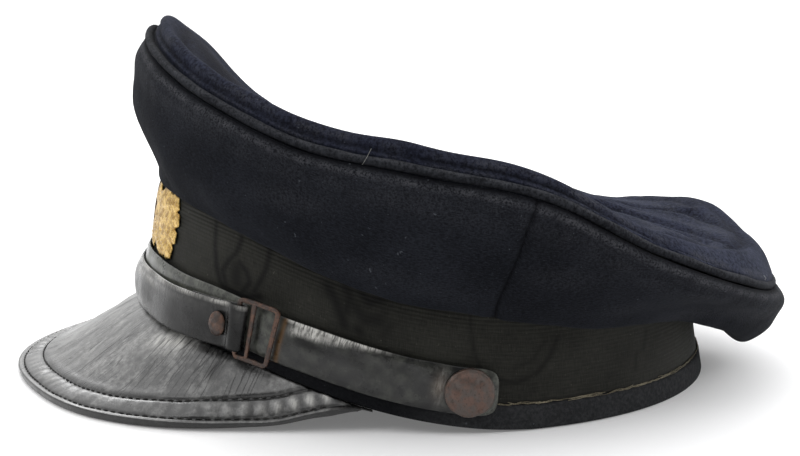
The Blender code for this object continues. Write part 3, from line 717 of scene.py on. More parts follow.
def old_metal(name, base, patches, spots, metallic, rough):
    """Metal under rust or tarnish, in two patchy colours with darker spots."""
    m = Material(name)
    broad, fine = m.noise(330.0, 4.0, 0.65), m.noise(1600.0, 4.0, 0.7)
    colour = m.blend(m.span(broad, 0.40, 0.62), base, patches)
    return m.finish(m.total((broad, 0.5), (fine, 0.5)), 0.22, 0.6, {
        "Base Color": m.blend(m.span(fine, 0.56, 0.70), colour, spots), "Metallic": metallic,
        "Roughness": m.span(fine, 0.35, 0.65, rough - 0.14, rough + 0.16),
    })


def thread(name, dark, light):
    m = Material(name)
    strand = m.noise(2600.0, 2.0, 0.6)
    both = m.total((strand, 0.5), (m.noise(160.0, 2.0, 0.5), 0.5))
    return m.finish(strand, 0.12, 0.6, {
        "Base Color": m.blend(m.span(both, 0.4, 0.62), dark, light), "Roughness": 0.8,
    })


WOOL_SIDE = wool("wool_side", (0.0031, 0.0036, 0.0050), (0.0150, 0.0166, 0.0214), combed=True)
WOOL_REAR = wool("wool_rear", (0.0031, 0.0036, 0.0049), (0.0143, 0.0156, 0.0200), combed=True)
# A paler, bluer copy of the side cloth: the top's colour holds painted light, the sheen from the light
# above
WOOL_TOP = wool("wool_top", (0.0068, 0.0078, 0.0140), (0.031, 0.035, 0.058), 0.06, 0.03)
WOOL_CORD = wool("wool_cord", (0.0066, 0.0072, 0.0088), (0.032, 0.034, 0.040))
WOOL_WELT = wool("wool_welt", (0.0190, 0.0196, 0.0210), (0.038, 0.039, 0.041))
RIBBON = ribbon("ribbon_band")
PEAK_LEATHER = leather("leather_peak", 0.42, 0.32, (0.29, 0.288, 0.28), 0.44, cracks=1.0)
UNDER_LEATHER = leather("leather_strap_under", 0.15, 0.22, (0.105, 0.110, 0.092))
OVER_LEATHER = leather("leather_strap_over", 0.10, 0.27, (0.085, 0.085, 0.080), 0.13)
STITCH = thread("thread_dark", (0.010, 0.010, 0.010), (0.038, 0.037, 0.034))
TAN_THREAD = thread("thread_tan", (0.09, 0.075, 0.045), (0.26, 0.23, 0.16))
PALE_HAIR = thread("hair_pale", (0.16, 0.16, 0.15), (0.34, 0.34, 0.32))
RUST = old_metal(
    "rusted_steel", (0.042, 0.031, 0.027), (0.095, 0.050, 0.033), (0.014, 0.011, 0.010), 0.35, 0.5)
BROWN = old_metal(
    "brown_metal", (0.080, 0.064, 0.056), (0.108, 0.064, 0.049), (0.030, 0.024, 0.021), 0.4, 0.42)
GILT = old_metal("gilt", (0.35, 0.21, 0.050), (0.68, 0.47, 0.16), (0.10, 0.055, 0.018), 0.70, 0.36)
BRONZE = old_metal(
    "dark_bronze", (0.10, 0.065, 0.035), (0.16, 0.11, 0.06), (0.03, 0.02, 0.012), 0.7, 0.45)


def dress(piece, slot, *nodes):
    """Hide the CAD nodes that a piece stands for. The slot is not used."""
    if nodes:
        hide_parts(*nodes)
    return piece


# Crown

# Millimetres for each degree round the crown's side, at its side seams, the cord and the welt
SIDE_RUN = 1.75
SEAM_RUN = 1.65
CORD_RUN = 1.85
WELT_RUN = 1.67


def side_grid(angles, places):
    """Outer face of the crown's side, from its hem up to the piping."""
    slumped, settled = sagging(angles), ease(angles)
    hem_up = BAND_TOP + (1 - settled) * GAP - CROWN_DROOP * read(CROWN, "hem", angles)
    hem_out = CLOTH / 2 * (1 - settled) + 2 * GAP * settled
    drop = CROWN_DROOP * (read(CROWN, "drop", angles) + SLUMP_DROP * slumped)
    fold_out = CROWN_FOLD_OUT * (read(CROWN, "fold_out", angles) + SLUMP_REACH * slumped)
    under_out = CROWN_FOLD_OUT * (read(CROWN, "under_out", angles) + SLUMP_UNDER * slumped)
    fold_up = CROWN_DROOP * read(CROWN, "fold_up", angles)
    bulge = CROWN_BULGE * (read(CROWN, "bulge", angles) + SLUMP_BULGE * slumped)
    piping, outward, over = piping_frame(angles)
    radius = PIPING_DIAMETER / 2
    hem = wall_point(angles, hem_up, hem_out)
    under = wall_point(angles, BAND_TOP - drop, under_out)
    fold = wall_point(angles, BAND_TOP - drop + fold_up, fold_out)
    head = piping - over * (radius + GAP) + outward * radius / 2
    middle = fold * 0.45 + head * 0.55 + outward * bulge[:, None]
    sections = np.stack([hem, under, fold, middle, head], 1)
    return np.array([spline(section, places) for section in sections])


def leaning(angles, places, make):
    """A grid of the side whose lower part reaches further back near the side seams."""
    wide = np.linspace(angles[0] - 4.0, angles[-1] + 4.0, len(angles) + 12)
    full = make(wide, places)
    side = signed(angles)
    lean = 2.4 * np.sign(side) * hump(np.abs(side), SEAM_ANGLE, 14.0)
    columns = [[
        np.interp(angles + lean * (1 - place), wide, full[:, column, axis]) for axis in range(3)
    ] for column, place in enumerate(places)]
    return np.array(columns).transpose(2, 0, 1)


def crown_side(name, start, end, material, node):
    half_gap = math.degrees(GAP / RING_WIDTH) * 0.25
    angles = np.linspace(start + half_gap, end - half_gap, int((end - start) / 0.75))
    outer = leaning(angles, np.linspace(0.0, 1.0, 60), side_grid)
    heights = grid_lengths(outer, 1)
    from_top = heights[:, -1:] - heights
    round_ring = angles[:, None] * SEAM_RUN
    seam = np.minimum(np.abs(angles - start), np.abs(angles - end))[:, None] * SEAM_RUN
    fade = ramp(from_top, 0.0, 5.0) * ramp(heights, 0.0, 5.0)
    front = hump(signed(angles), 0.0, 34.0)[:, None]
    behind = hump(np.mod(angles, 360.0), 176.0, 24.0)[:, None]
    relief = (1.75 - 1.1 * behind + 0.1 * front) * hump(from_top, 2.0 + 4.0 * front, 1.8 + 4.2 * front)
    relief += 0.8 * (1 - front) * hump(from_top, 6.0, 4.0)
    relief += 3.7 * behind * hump(from_top / heights[:, -1:], 0.29, 0.15)
    relief += 0.20 * hump(seam, 3.6, 2.0) - 0.40 * hump(seam, 0.0, 1.1)
    relief += 0.30 * fade * ripple(round_ring / 38.0, heights / 42.0, 11)
    relief += 0.10 * fade * ripple(round_ring / 10.0, heights / 12.0, 12, 7)
    outer = outer + grid_normals(outer) * relief[:, :, None]
    inner = outer - CLOTH * grid_normals(outer)
    settled = ease(angles)[:, None]
    level = -ring_normal(angles) * (1 - settled) + np.array([0.0, 0.0, 1.0]) * settled
    inner[:, 0] = outer[:, 0] + CLOTH * unit(level)
    inner[:, -1] = outer[:, -1] - CLOTH * piping_frame(angles)[1]
    piece = wall(name, outer, inner, material, 0.2, angles * SIDE_RUN, grid_lengths(outer, 1))
    # Painted highlight with some wear: a pale band just under the cord, paler above at the front, and
    # rubbed blotches
    rubbed = 0.80 * hump(from_top, 1.9, 1.1) + 0.30 * hump(from_top, 6.0, 5.0) * (0.5 + front)
    rubbed *= 0.5 + 0.5 * mottle(round_ring / 7.0, heights / 5.0, 13, 1.8)
    rubbed += 0.18 * np.clip(ripple(round_ring / 22.0, heights / 16.0, 14, 5) - 0.15, 0, 1)
    # Painted shade right under the cord and along the seams
    shade = 0.8 * hump(from_top, 0.0, 0.7) + 0.45 * hump(seam, 0.0, 0.6)
    paint(piece, len(angles), rubbed=rubbed, hollow=shade)
    dress(piece, "navy_wool", node)


def piping():
    angles = np.arange(0, 360, 0.6)
    middle, outward, over = piping_frame(angles)
    length = angles * CORD_RUN
    radius = PIPING_DIAMETER / 2 * (0.95 + 0.06 * line_ripple(length / 14.0, 21))
    shift = 0.20 * line_ripple(length / 24.0, 22)
    turns = np.arange(14) * 2 * math.pi / 14
    ring = round_section(turns, outward, over)
    fuzz = 0.07 * ripple(length[:, None] / 2.4, turns[None, :] * 1.5 / 2.4, 23, 8)
    loops = (middle + over * shift[:, None])[:, None] + ring * (radius[:, None] + fuzz)[..., None]
    u = np.append(length, 360 * CORD_RUN)
    piece = build_sections("crown_piping_cloth", loops, u, np.arange(15) * 0.7, WOOL_CORD, True)
    # Painted highlight along the cord's crest, and painted shade on its flanks
    turned_to = np.radians(signed(np.degrees(turns)))[None, :]
    crest = 0.28 + 0.30 * ripple(length[:, None] / 9.0, turns[None, :], 24, 6)
    paint(
        piece, len(angles), rubbed=hump(turned_to, 0.9, 0.6) * crest,
        hollow=0.6 * (1 - hump(turned_to, 0.9, 1.1)),
    )
    dress(piece, "navy_wool", "crown_piping")


def fold_height(angles):
    return TOP_FOLD * sum(
        height * hump(signed(angles - centre), 0.0, width) for centre, width, height in FOLDS
    )


def top_centre():
    y = (piping_point(90.0)[1] + piping_point(270.0)[1]) / 2
    return np.array([0.0, y, float(foot_height(90.0)) + BAND_TOP + TOP_CENTRE_RISE])


# Creases of the top panel behind its middle, in the frame's millimetres seen from above, then
# half width and strength
REAR_FOLDS = (
    ((
        (15.0, 66.0), (18.3, 76.8), (20.1, 85.7), (22.5, 93.5), (26.8, 102.4), (33.0, 109.5),
        (42.0, 114.0),
    ), 2.6, 0.9),
    ((
        (-25.0, 82.0), (-23.8, 92.7), (-24.0, 102.0), (-20.0, 111.0), (-6.0, 117.5), (12.0, 121.5),
    ), 3.0, 1.0),
    (((-52.0, 88.0), (-51.0, 97.0), (-42.0, 107.0), (-27.5, 113.5)), 2.8, 0.7),
)


def near_side(angles):
    """Full on the wearer's left, where the photo shows the top's rim, and faint on the right."""
    return np.clip(sine(angles) * 2.0 + 0.6, 0.25, 1.0)[:, None]


def crease(grid, ahead=0.0, aside=0.0):
    """How deep each point of the top lies in a crease, or in one moved aside."""
    x, y = (grid[..., k] + CENTRE[k] / MM for k in range(2))
    return stroke_mask(x - aside, y + ahead, REAR_FOLDS)


def top_grid(angles, places):
    """Upper face of the top panel, from its rim in to near its middle."""
    middle, outward, over = piping_frame(angles)
    radius = PIPING_DIAMETER / 2
    edge = middle - outward * (radius + GAP) + over * radius * 0.4
    centre = top_centre()
    place = places[None, :]
    across = (edge - centre)[:, None] * place[..., None]
    grid = centre + across
    rise = grid[:, :, 2]
    rise[:] = centre[2] + (edge[:, 2:3] - centre[2]) * place ** TOP_DISH
    puff = TOP_PUFF * read(CROWN, "puff", angles) * (1 - SLUMP_BULGE * sagging(angles))
    rise += puff[:, None] * smooth(TOP["place"], TOP["puff"], place)
    rise += fold_height(angles)[:, None] * smooth(TOP["place"], TOP["fold"], place)
    rear = ramp(np.minimum(angles, 360 - angles), 105.0, 35.0)[:, None]
    from_rim = np.linalg.norm((edge - centre)[:, :2], axis=1)[:, None] * (1 - place)
    push = 3.4 * rear * (1 - hump(from_rim, 0.0, 0.3)) * hump(from_rim, 0.0, 2.3)
    grid += outward[:, None] * push[..., None]
    near = near_side(angles)
    rise += near * (1.5 * hump(from_rim, 4.4, 2.0) - 0.5 * hump(from_rim, 1.0, 1.0))
    rise -= near * 1.5 * hump(from_rim, 9.0, 2.6)
    rise -= 6.5 * hump(signed(angles - 34.0), 0.0, 24.0)[:, None] * hump(place, 0.70, 0.13)
    rise += 0.9 * crease(grid, 1.0, 3.0) - 1.7 * crease(grid)
    waves = ripple(across[..., 0] / 34.0, across[..., 1] / 34.0, 31, 6)
    rise += 0.7 * waves * ramp(1 - place, 0.0, 0.08)
    return grid


def crown_top():
    angles = np.arange(0, 360, 1.0)
    places = 1 - np.linspace(0.0, 1.0, 90) ** 1.8 * 0.96
    upper = top_grid(angles, places)
    normals = grid_normals(upper, True)
    normals *= np.sign(normals[:, :, 2].mean())
    # A ridge where the panel's edge is turned in beside the cord, and a groove above it
    along = grid_lengths(upper, 1)
    near = near_side(angles)
    relief = 0.50 * hump(along, 1.7, 0.75) - 0.60 * hump(along, 3.2, 0.75) - 0.30 * hump(along, 0.2, 0.5)
    upper = upper + normals * (near * relief)[..., None]
    lower = upper - CLOTH * normals
    loops = np.concatenate([upper[:, ::-1], lower], axis=1)
    rows, count = loops.shape[:2]
    faces = numbered(section_faces(rows, count, True, joined=False), rows, count)
    centre = top_centre()
    centre[2] = upper[:, -1, 2].mean()
    points = np.concatenate([loops.reshape(-1, 3), [centre, centre - [0, 0, CLOTH]]])
    for row in range(rows):
        here, ahead = row * count, (row + 1) % rows * count
        faces.append([here, ahead, len(points) - 2])
        faces.append([here + count - 1, ahead + count - 1, len(points) - 1])
    piece = build_mapped("crown_top_cloth", points, faces, (0, 1), WOOL_TOP)
    depth = 96.0 * (1 - places)[None, :]
    # Painted highlight, with some wear, on the ridges by the rim and on the rear of the top
    rubbed = 0.60 * hump(along, 5.0, 1.6) + 0.55 * hump(along, 1.5, 0.7)
    rubbed += 0.30 * hump(depth, 18.0, 10.0) * (np.abs(angles - 180) < 75)[:, None]
    rubbed *= mottle(angles[:, None] * SIDE_RUN / 8.0, depth / 6.0, 33, 1.8)
    # Painted shade in the front pocket, by the cord, in the creases and grooves, and on the near strip
    shade = 0.75 * hump(signed(angles)[:, None], 3.0, 26.0) * hump(places[None, :], 0.80, 0.13)
    shade += 0.8 * hump(along, 0.0, 0.6) + 0.4 * crease(upper)
    shade += 0.35 * hump(depth, 8.6, 2.0) + 0.65 * hump(along, 3.1, 0.6) * near
    shade += 0.30 * hump(along, 5.0, 4.0) * hump(angles, 70.0, 40.0)[:, None]
    paint(piece, rows, rubbed=rubbed[:, ::-1], hollow=shade[:, ::-1])
    dress(piece, "navy_wool", "crown_top")


# Band and welt

# Strokes of the ribbon's woven pattern: distance round the band from the front and height
# above its foot in millimetres, then half width and strength
MOTIF = (
    (((70.1, 38.9), (70.1, 31.5), (71.5, 25.0), (73.7, 21.0), (76.1, 19.6)), 1.2, 0.95),
    (((94.6, 40.1), (93.8, 35.1), (92.8, 31.0), (90.8, 26.7), (88.5, 22.7)), 1.0, 0.9),
    (((82.4, 39.2), (82.5, 37.0), (80.2, 32.1), (77.2, 28.9)), 1.0, 0.9),
    (((77.2, 28.9), (74.4, 24.8), (76.4, 21.0)), 1.2, 0.95),
    (((81.7, 29.4), (84.9, 27.6), (86.4, 24.6), (83.6, 20.6)), 1.2, 0.95),
    (((80.5, 27.4), (80.7, 23.4)), 3.0, 0.8),
    (((76.6, 19.9), (84.0, 19.4), (90.9, 21.8)), 1.2, 0.95),
    (((115.9, 33.8), (118.7, 30.7), (121.5, 24.1)), 2.2, 0.9),
    (((121.0, 38.2), (123.4, 33.0), (122.2, 28.4)), 1.9, 0.8),
    (((126.7, 36.7), (129.4, 33.4), (133.4, 35.4)), 1.9, 0.85),
    (((125.0, 31.0), (128.4, 27.4), (133.0, 28.6)), 2.3, 0.75),
    (((125.9, 23.9), (126.9, 23.3)), 1.6, 0.9),
    (((134.5, 24.5), (137.0, 28.2)), 1.2, 0.5),
    (((161.9, 36.4), (163.0, 24.9), (165.1, 19.2)), 0.55, 0.6),
    (((191.3, 28.5), (188.3, 22.8), (184.1, 18.1), (177.0, 14.9), (171.8, 15.9)), 0.9, 0.6),
    (((186.8, 27.6), (182.0, 22.0), (176.2, 19.4)), 0.7, 0.4),
    (((229.8, 25.3), (227.8, 19.7)), 0.8, 0.5),
    (((223.8, 18.7), (222.6, 13.7)), 0.8, 0.45),
)


def ring_length(angles):
    """Distance round the band from the front at each angle."""
    return np.interp(angles, LONG_RING[0], LONG_RING[1])


_around = np.linspace(-180.0, 360.0, 1081)
_steps = np.linalg.norm(np.diff(wall_point(_around, 20.0, 0.0), axis=0), axis=1)
_lengths = np.concatenate([[0.0], np.cumsum(_steps)])
LONG_RING = (_around, _lengths - np.interp(0.0, _around, _lengths))


def band():
    angles = np.arange(-180.0, 180.0, 0.5)
    ups = np.linspace(WELT_HEIGHT + GAP, BAND_TOP, 60)
    round_band, height = ring_length(angles)[:, None], ups[None, :]
    relief = 0.22 * ripple(round_band / 26.0, height / 20.0, 41) * ramp(height, BAND_TOP, -4.0)
    outer = wall_point(angles[:, None], height, relief - 0.1)
    inner = wall_point(angles[:, None], height, -BAND_WALL)
    v = np.broadcast_to(ups, outer.shape[:2])
    piece = wall("band_ribbon", outer, inner, RIBBON, 0.1, round_band[:, 0], v, True)
    ribs = 0.25 + 0.75 * ramp(height, 30.0, 8.0)
    ribs = ribs * (0.75 + 0.25 * ripple(round_band / 30.0, height / 15.0, 42))
    paint(piece, len(angles), most=2.0, ribs=ribs, motif=stroke_mask(round_band, height, MOTIF))
    dress(piece, "black_ribbon", "band")


def rounded_box(width, height, corner):
    """A rounded box section with points about a millimetre apart: across and up from 0."""
    points = []
    for cx, cy, first in (
        (width - corner, corner, -90), (width - corner, height - corner, 0),
        (corner, height - corner, 90), (corner, corner, 180),
    ):
        turns = np.radians(first + np.array([0.0, 30.0, 60.0, 90.0]))
        points += zip(cx + corner * np.cos(turns), cy + corner * np.sin(turns))
    closer = []
    for (ax, ay), (bx, by) in zip(points, points[1:] + points[:1]):
        parts = max(int(math.hypot(bx - ax, by - ay)), 1)
        closer += [(ax + (bx - ax) * k / parts, ay + (by - ay) * k / parts) for k in range(parts)]
    return np.array(closer)


def welt():
    angles = np.arange(0, 360, 0.75)
    section = rounded_box(WELT_WALL, WELT_HEIGHT, 0.95)
    across, up = section.T
    length = angles * WELT_RUN
    outward = ramp(across, WELT_WALL / 2, WELT_WALL / 2)
    mid = ramp(up, 0.0, 2.0) * ramp(up, WELT_HEIGHT, -1.5)
    wobble = 0.18 * ripple(length[:, None] / 17.0, up[None, :] / 10.0, 51) * outward * mid
    out = across - WELT_WALL + WELT_PROUD + wobble - 0.05 * outward
    loops = wall_point(angles[:, None], up[None, :], out)
    v = np.append(np.cumsum(np.r_[0, np.hypot(*np.diff(section, axis=0).T)]), 24.0)
    piece = build_sections("welt_cloth", loops, np.append(length, 360 * WELT_RUN), v, WOOL_WELT, True)
    # Painted shadow of the straps on the welt below them
    side = np.abs(signed(angles))[:, None]
    clean = 0.85 * ramp(side, 30.0, 10.0) * ramp(side, 96.0, -12.0)
    paint(piece, len(angles), hollow=np.repeat(clean, len(section), 1))
    dress(piece, "navy_wool", "welt")


# Peak

# Distances of the stitched rows from the rim, with the length of a stitch and its gap
INNER_ROW = 9.2
INNER_PITCH = 3.3
OUTER_ROW = 2.3
OUTER_PITCH = 3.1
# Length along the rim of each puff between the rows
PUFF_PITCH = 5.6
RIM_ROUND = 1.25 * 0.6


def peak_surface(angles, share):
    """Upper face of the peak, from its root at share 0 to its rim at share 1."""
    reach = PEAK_LENGTH * read(PEAK, "reach", angles)[:, None]
    foot = foot_height(angles)[:, None]
    rim = foot * read(PEAK, "rim", angles)[:, None] + PEAK_RIM
    fall = foot - GAP - rim
    dip = 27 / 4 * share ** 2 * (1 - share)
    points = wall_point(angles[:, None], -GAP, WELT_PROUD + (reach - WELT_PROUD) * share)
    points[:, :, 2] -= fall * share + PEAK_HOLLOW * reach / PEAK_LENGTH * dip
    return points


def to_rim(points, rim, along):
    """Distance of each point from the rim, and the place along the rim that is nearest."""
    shape = points.shape[:2]
    away = np.empty(shape)
    place = np.empty(shape)
    for row in range(shape[0]):
        gaps = np.linalg.norm(points[row][:, None] - rim[None], axis=2)
        nearest = gaps.argmin(axis=1)
        away[row] = gaps[np.arange(shape[1]), nearest]
        place[row] = along[nearest]
    return away, place


def puffs(u):
    return 0.5 + 0.5 * np.sin(u * 2 * math.pi / PUFF_PITCH + 1.4 * line_ripple(u / 21.0, 61))


def peak_relief(u, from_rim, reach):
    """Stitched rows, the puffs between them and soft unevenness, in millimetres."""
    swell = np.sin(math.pi * ramp(from_rim, OUTER_ROW, INNER_ROW - OUTER_ROW))
    relief = swell * (0.25 + 0.50 * puffs(u) * (0.55 + 0.45 * line_ripple(u / 33.0, 63)))
    relief -= 0.55 * hump(from_rim, INNER_ROW, 0.65) + 0.40 * hump(from_rim, OUTER_ROW, 0.5)
    relief += 0.22 * hump(from_rim, INNER_ROW + 2.0, 1.6)
    relief *= ramp(reach, 3.0, 3.0)
    return relief + 0.12 * ripple(u / 16.0, from_rim / 16.0, 62) * ramp(from_rim, 1.0, 2.0)


def peak():
    tail = PEAK["angle"][-1]
    angles = np.linspace(-tail, tail, 421)
    reach = PEAK_LENGTH * read(PEAK, "reach", angles)[:, None]
    ending = ramp(np.abs(angles), tail, -7.0)[:, None]
    full = np.maximum((reach - WELT_PROUD) * (0.1 + 0.9 * ending), 0.3)
    # Columns lie close together near the rim, where the stitched rows are
    radial = RIM_ROUND + (full - RIM_ROUND) * (1 - np.linspace(0.0, 1.0, 64)[None, :]) ** 1.35
    upper = peak_surface(angles, np.clip(1 - radial / full, 0.0, 1.0))
    normals = grid_normals(upper)
    normals *= np.sign(normals[:, :, 2:3])
    fine = np.linspace(-tail, tail, 1601)
    rim = peak_surface(fine, np.ones((1, 1)))
    rim_along = grid_lengths(rim, 0)[:, 0]
    rim_along = rim_along - rim_along[len(fine) // 2]
    from_rim, u = to_rim(upper, rim[:, 0], rim_along)
    top = upper + normals * peak_relief(u, from_rim, reach)[:, :, None]
    thin = ramp(np.abs(angles), tail, -9.0)[:, None, None]
    thin = 0.28 + 0.72 * thin * thin * (3 - 2 * thin)
    lower = upper - PEAK_WALL * thin * normals
    tuck = wall_point(angles, -GAP, WELT_PROUD - PEAK_TUCK)[:, None]
    tuck_low = tuck - thin * np.array([0.0, 0.0, PEAK_WALL])
    for low in (lower, tuck_low):
        low[..., 2] = np.maximum(low[..., 2], 0.0)
    rim_out = unit((upper[:, -1] - upper[:, -4]) * [1.0, 1.0, 0.0])[:, None]
    turns = math.pi * np.arange(1, 8)[None, :, None] / 8
    middle, half = (top[:, -1:] + lower[:, -1:]) / 2, (top[:, -1:] - lower[:, -1:]) / 2
    arc = middle + half * np.cos(turns) + rim_out * RIM_ROUND * np.sin(turns) ** 0.7
    loops = np.concatenate([tuck, top, arc, lower[:, ::-1], tuck_low], axis=1)
    u_row = np.interp(angles, fine, rim_along)
    rows, count = loops.shape[:2]
    edge = np.tile(-np.linspace(0.5, 3.5, 7), (rows, 1))
    root = radial[:, :1]
    v = np.concatenate([root + 2, radial, edge, -4 - radial[:, ::-1], -6 - root, -9 - root], axis=1)
    piece = build_sections("peak_leather", loops, u_row, v, PEAK_LEATHER, ladder=True)
    side = np.abs(u)
    inside = ramp(from_rim, INNER_ROW, 3.0)
    streaks = mottle(u / 5.5, from_rim / 40.0, 71)
    blotches = mottle(u / 9.0, from_rim / 9.0, 72)
    # Paler finish: some real wear, a painted reflection haze at the front, a painted highlight patch by
    # the strap and a paler corner
    haze = 0.50 * ramp(side, 112.0, -40.0) * ramp(from_rim, 9.0, 8.0) * (0.55 + 0.45 * blotches)
    patch = 1.5 * hump(side, 104.0, 13.0) * hump(from_rim, 32.5, 4.2)
    corner = 0.50 * hump(side, 158.0, 16.0) * hump(from_rim, 12.5, 4.0)
    worn = inside * (0.10 + (haze + patch + corner) * (0.75 + 0.25 * streaks))
    lobes = puffs(u)
    # Painted highlight on the puffs between the rows and on the rim's top edge
    between = (0.30 + 0.65 * ramp(side, 118.0, 40.0)) * hump(from_rim, 5.9, 2.2)
    worn += between * lobes * (0.5 + 0.5 * streaks)
    worn += 0.35 * hump(from_rim, 0.6, 1.0) * (0.4 + 0.6 * blotches)
    # Painted shade in the stitched rows and at the rim, a dark blotch, and darker streaks
    dark = 0.95 * hump(from_rim, INNER_ROW, 0.75) + 0.75 * hump(from_rim, OUTER_ROW, 0.55)
    dark += 1.0 * hump(side, 129.6, 4.4) * hump(from_rim, 19.3, 3.6) * (0.5 + 0.5 * blotches)
    dark += 0.30 * inside * (1 - streaks) ** 2 + 0.5 * (from_rim < 0.7)
    # Painted highlights: a patch by the strap and the lit puffs
    lit = hump(from_rim, 5.5, 1.8) * lobes ** 2
    shine = 1.3 * hump(side, 102.0, 12.0) * hump(from_rim, 33.0, 3.6) * (0.6 + 0.4 * streaks)
    shine += lit * (0.85 * hump(side, 165.0, 14.0) + 0.30 * hump(side, 40.0, 40.0) * blotches)
    # Painted shade on the edge and the under face
    hidden = np.full((rows, count - 1 - dark.shape[1]), 0.8)
    paint(
        piece, rows, 1, cracked=ramp(from_rim, INNER_ROW, 2.0), worn=worn,
        dark=np.hstack([dark, hidden]), amber=0 * worn, shine=shine,
    )
    dress(piece, "black_leather", "peak")
    return top, from_rim, u


def peak_stitches(top, from_rim, u):
    """Thread stitches along both rows of the peak."""
    shapes = []
    source = np.random.default_rng(5)
    places = np.concatenate([top, u[..., None]], axis=2)
    for depth, pitch in ((INNER_ROW, INNER_PITCH), (OUTER_ROW, OUTER_PITCH)):
        line = []
        for away, row in zip(from_rim, places):
            if away[0] >= depth + 1.5:
                order = np.argsort(away)
                line.append([np.interp(depth, away[order], row[order, k]) for k in range(4)])
        line = np.array(line)
        along = np.maximum.accumulate(line[:, 3] + np.arange(len(line)) * 1e-6)
        for start in np.arange(along[0], along[-1] - pitch, pitch):
            spots = start + np.linspace(0.0, pitch * source.uniform(0.62, 0.78), 7)
            base = np.stack([np.interp(spots, along, line[:, k]) for k in range(3)], -1)
            base[:, 2] += 0.02 + 0.26 * np.sin(np.linspace(0, math.pi, 7)) + source.uniform(-0.04, 0.04)
            radius = 0.10 + 0.14 * np.sin(np.linspace(0.12, math.pi - 0.12, 7))
            shapes.append(tube_shape(base, radius, 6))
    dress(build_joined("peak_stitches", shapes, STITCH), "black_leather")


# Straps

def strap(name, line, path, material, node):
    """A leather strap along a line: place along, distance out, half width and cup.

    Hands back the piece with each point's place along and across it, and 1 on its outer face.
    """
    path = np.array(path)
    steps = np.hypot(*np.diff(path[:, :2], axis=0).T)
    lengths = np.concatenate([[0.0], np.cumsum(steps)])
    at = np.linspace(0.0, lengths[-1], int(lengths[-1] / 0.55))
    along, out, cup = (smooth(lengths, path[:, k], at, False)[:, None] for k in (0, 1, 3))
    half = np.interp(at, lengths, path[:, 2])
    ways = unit(np.gradient(np.hstack([along, out]), axis=0))
    thick = STRAP_WALL / 2
    turns = math.pi * np.arange(1, 4) / 4
    front, back = np.linspace(-1, 1, 21), np.linspace(1, -1, 13)
    share = np.concatenate([front, [1.0] * 3, back, [-1.0] * 3])
    face = np.concatenate([[1.0] * 21, np.cos(turns), [-1.0] * 13, -np.cos(turns)])
    edge = np.concatenate([[0.0] * 21, np.sin(turns), [0.0] * 13, np.sin(turns)])
    up = np.maximum(half - thick, 0.3)[:, None] * share + np.sign(share) * edge * thick
    raised = 0.22 * (1 - share ** 2) - 0.28 * ramp(np.abs(share), 0.78, 0.22) ** 2
    uneven = 0.10 * ripple(at[:, None] / 13.0, up / 9.0, len(name))
    shift = face * thick + np.clip(face, 0, 1) * (raised + uneven)
    lift = cup * (1 - share ** 2)
    loops = line.point(along - ways[:, 1:2] * shift, up, out + ways[:, 0:1] * shift + lift)
    v = np.append(np.cumsum(np.r_[0, np.hypot(np.diff(share * 7.5), np.diff(face * thick))]), 36.0)
    piece = build_sections(name, loops, at, v, material, sharp=50)
    dress(piece, "black_leather", node)
    return piece, along, up, np.broadcast_to(face, up.shape)


def under_strap():
    centre = UNDER_LINE.along(BUTTON_ANGLE)
    buckle = UNDER_LINE.along(BUCKLE_ANGLE)
    half = STRAP_WIDTH / 2
    path = [(place, UNDER_OUT, half, 0.0) for place in np.linspace(-centre, centre, 53)]
    for share in (0.25, 0.45, 0.62, 0.75, 0.86, 0.93, 0.97):
        end, rounded = centre + (STRAP_END + 0.7) * share, half * (1 - share ** 4) ** 0.25
        path = [(-end, UNDER_OUT, rounded, 0.0), *path, (end, UNDER_OUT, rounded, 0.0)]
    piece, along, up, face = strap("strap_under_leather", UNDER_LINE, path, UNDER_LEATHER, "strap_under")
    side = np.abs(along)
    clouds = mottle(along / 8.0, up / 4.0, 81)
    # The middle, between the buckles, is worn to its fibres
    worn = ramp(side, buckle, -6.0) * (0.55 + 0.35 * clouds)
    worn += 0.22 * clouds * (side > buckle) + 0.6 * (side > centre)
    # Paler panel seen in the buckle: worn, with a painted highlight
    worn += 0.55 * hump(side, buckle + 1.0, 4.5) * (0.3 + 0.7 * clouds)
    # Painted highlight along the upper edge behind each buckle, and painted shade below it
    lit = ramp(side, buckle + 9.0, 5.0) * ramp(side, buckle + 46.0, -18.0)
    deep = 5.6 - 4.4 * ramp(side, buckle + 9.0, 34.0) + 0.35 * ripple(along / 5.0, up / 9.0, 83, 6)
    shine = lit * ramp(up, 7.5 - deep, 1.6) * (0.55 + 0.45 * clouds)
    shine += 0.7 * hump(up, 7.2, 0.4) * (side > buckle + 8.0) * ramp(side, buckle + 44.0, -8.0)
    # Pale bare leather beside the button
    shine += 0.34 * hump(side, centre - 9.0, 1.7) * hump(up, 0.6, 4.6) * (0.4 + 0.6 * clouds)
    dark = lit * (0.85 * hump(up, 1.6, 1.7) + 0.35 * hump(up, -5.0, 3.0))
    # A dark slit by the button
    dark += 0.9 * hump(side, centre - 13.0, 3.5) * hump(up, 0.3, 0.35)
    amber = 0.8 * hump(side, buckle + BUCKLE_LENGTH / 2 + 1.2, 0.7)
    amber = amber + 0.30 * hump(side, centre - 9.2, 2.2) * hump(up, 0.4, 3.6)
    shown = face > 0.5
    paint(
        piece, len(along), worn=shown * worn, dark=shown * dark, amber=shown * amber,
        shine=shown * shine,
    )


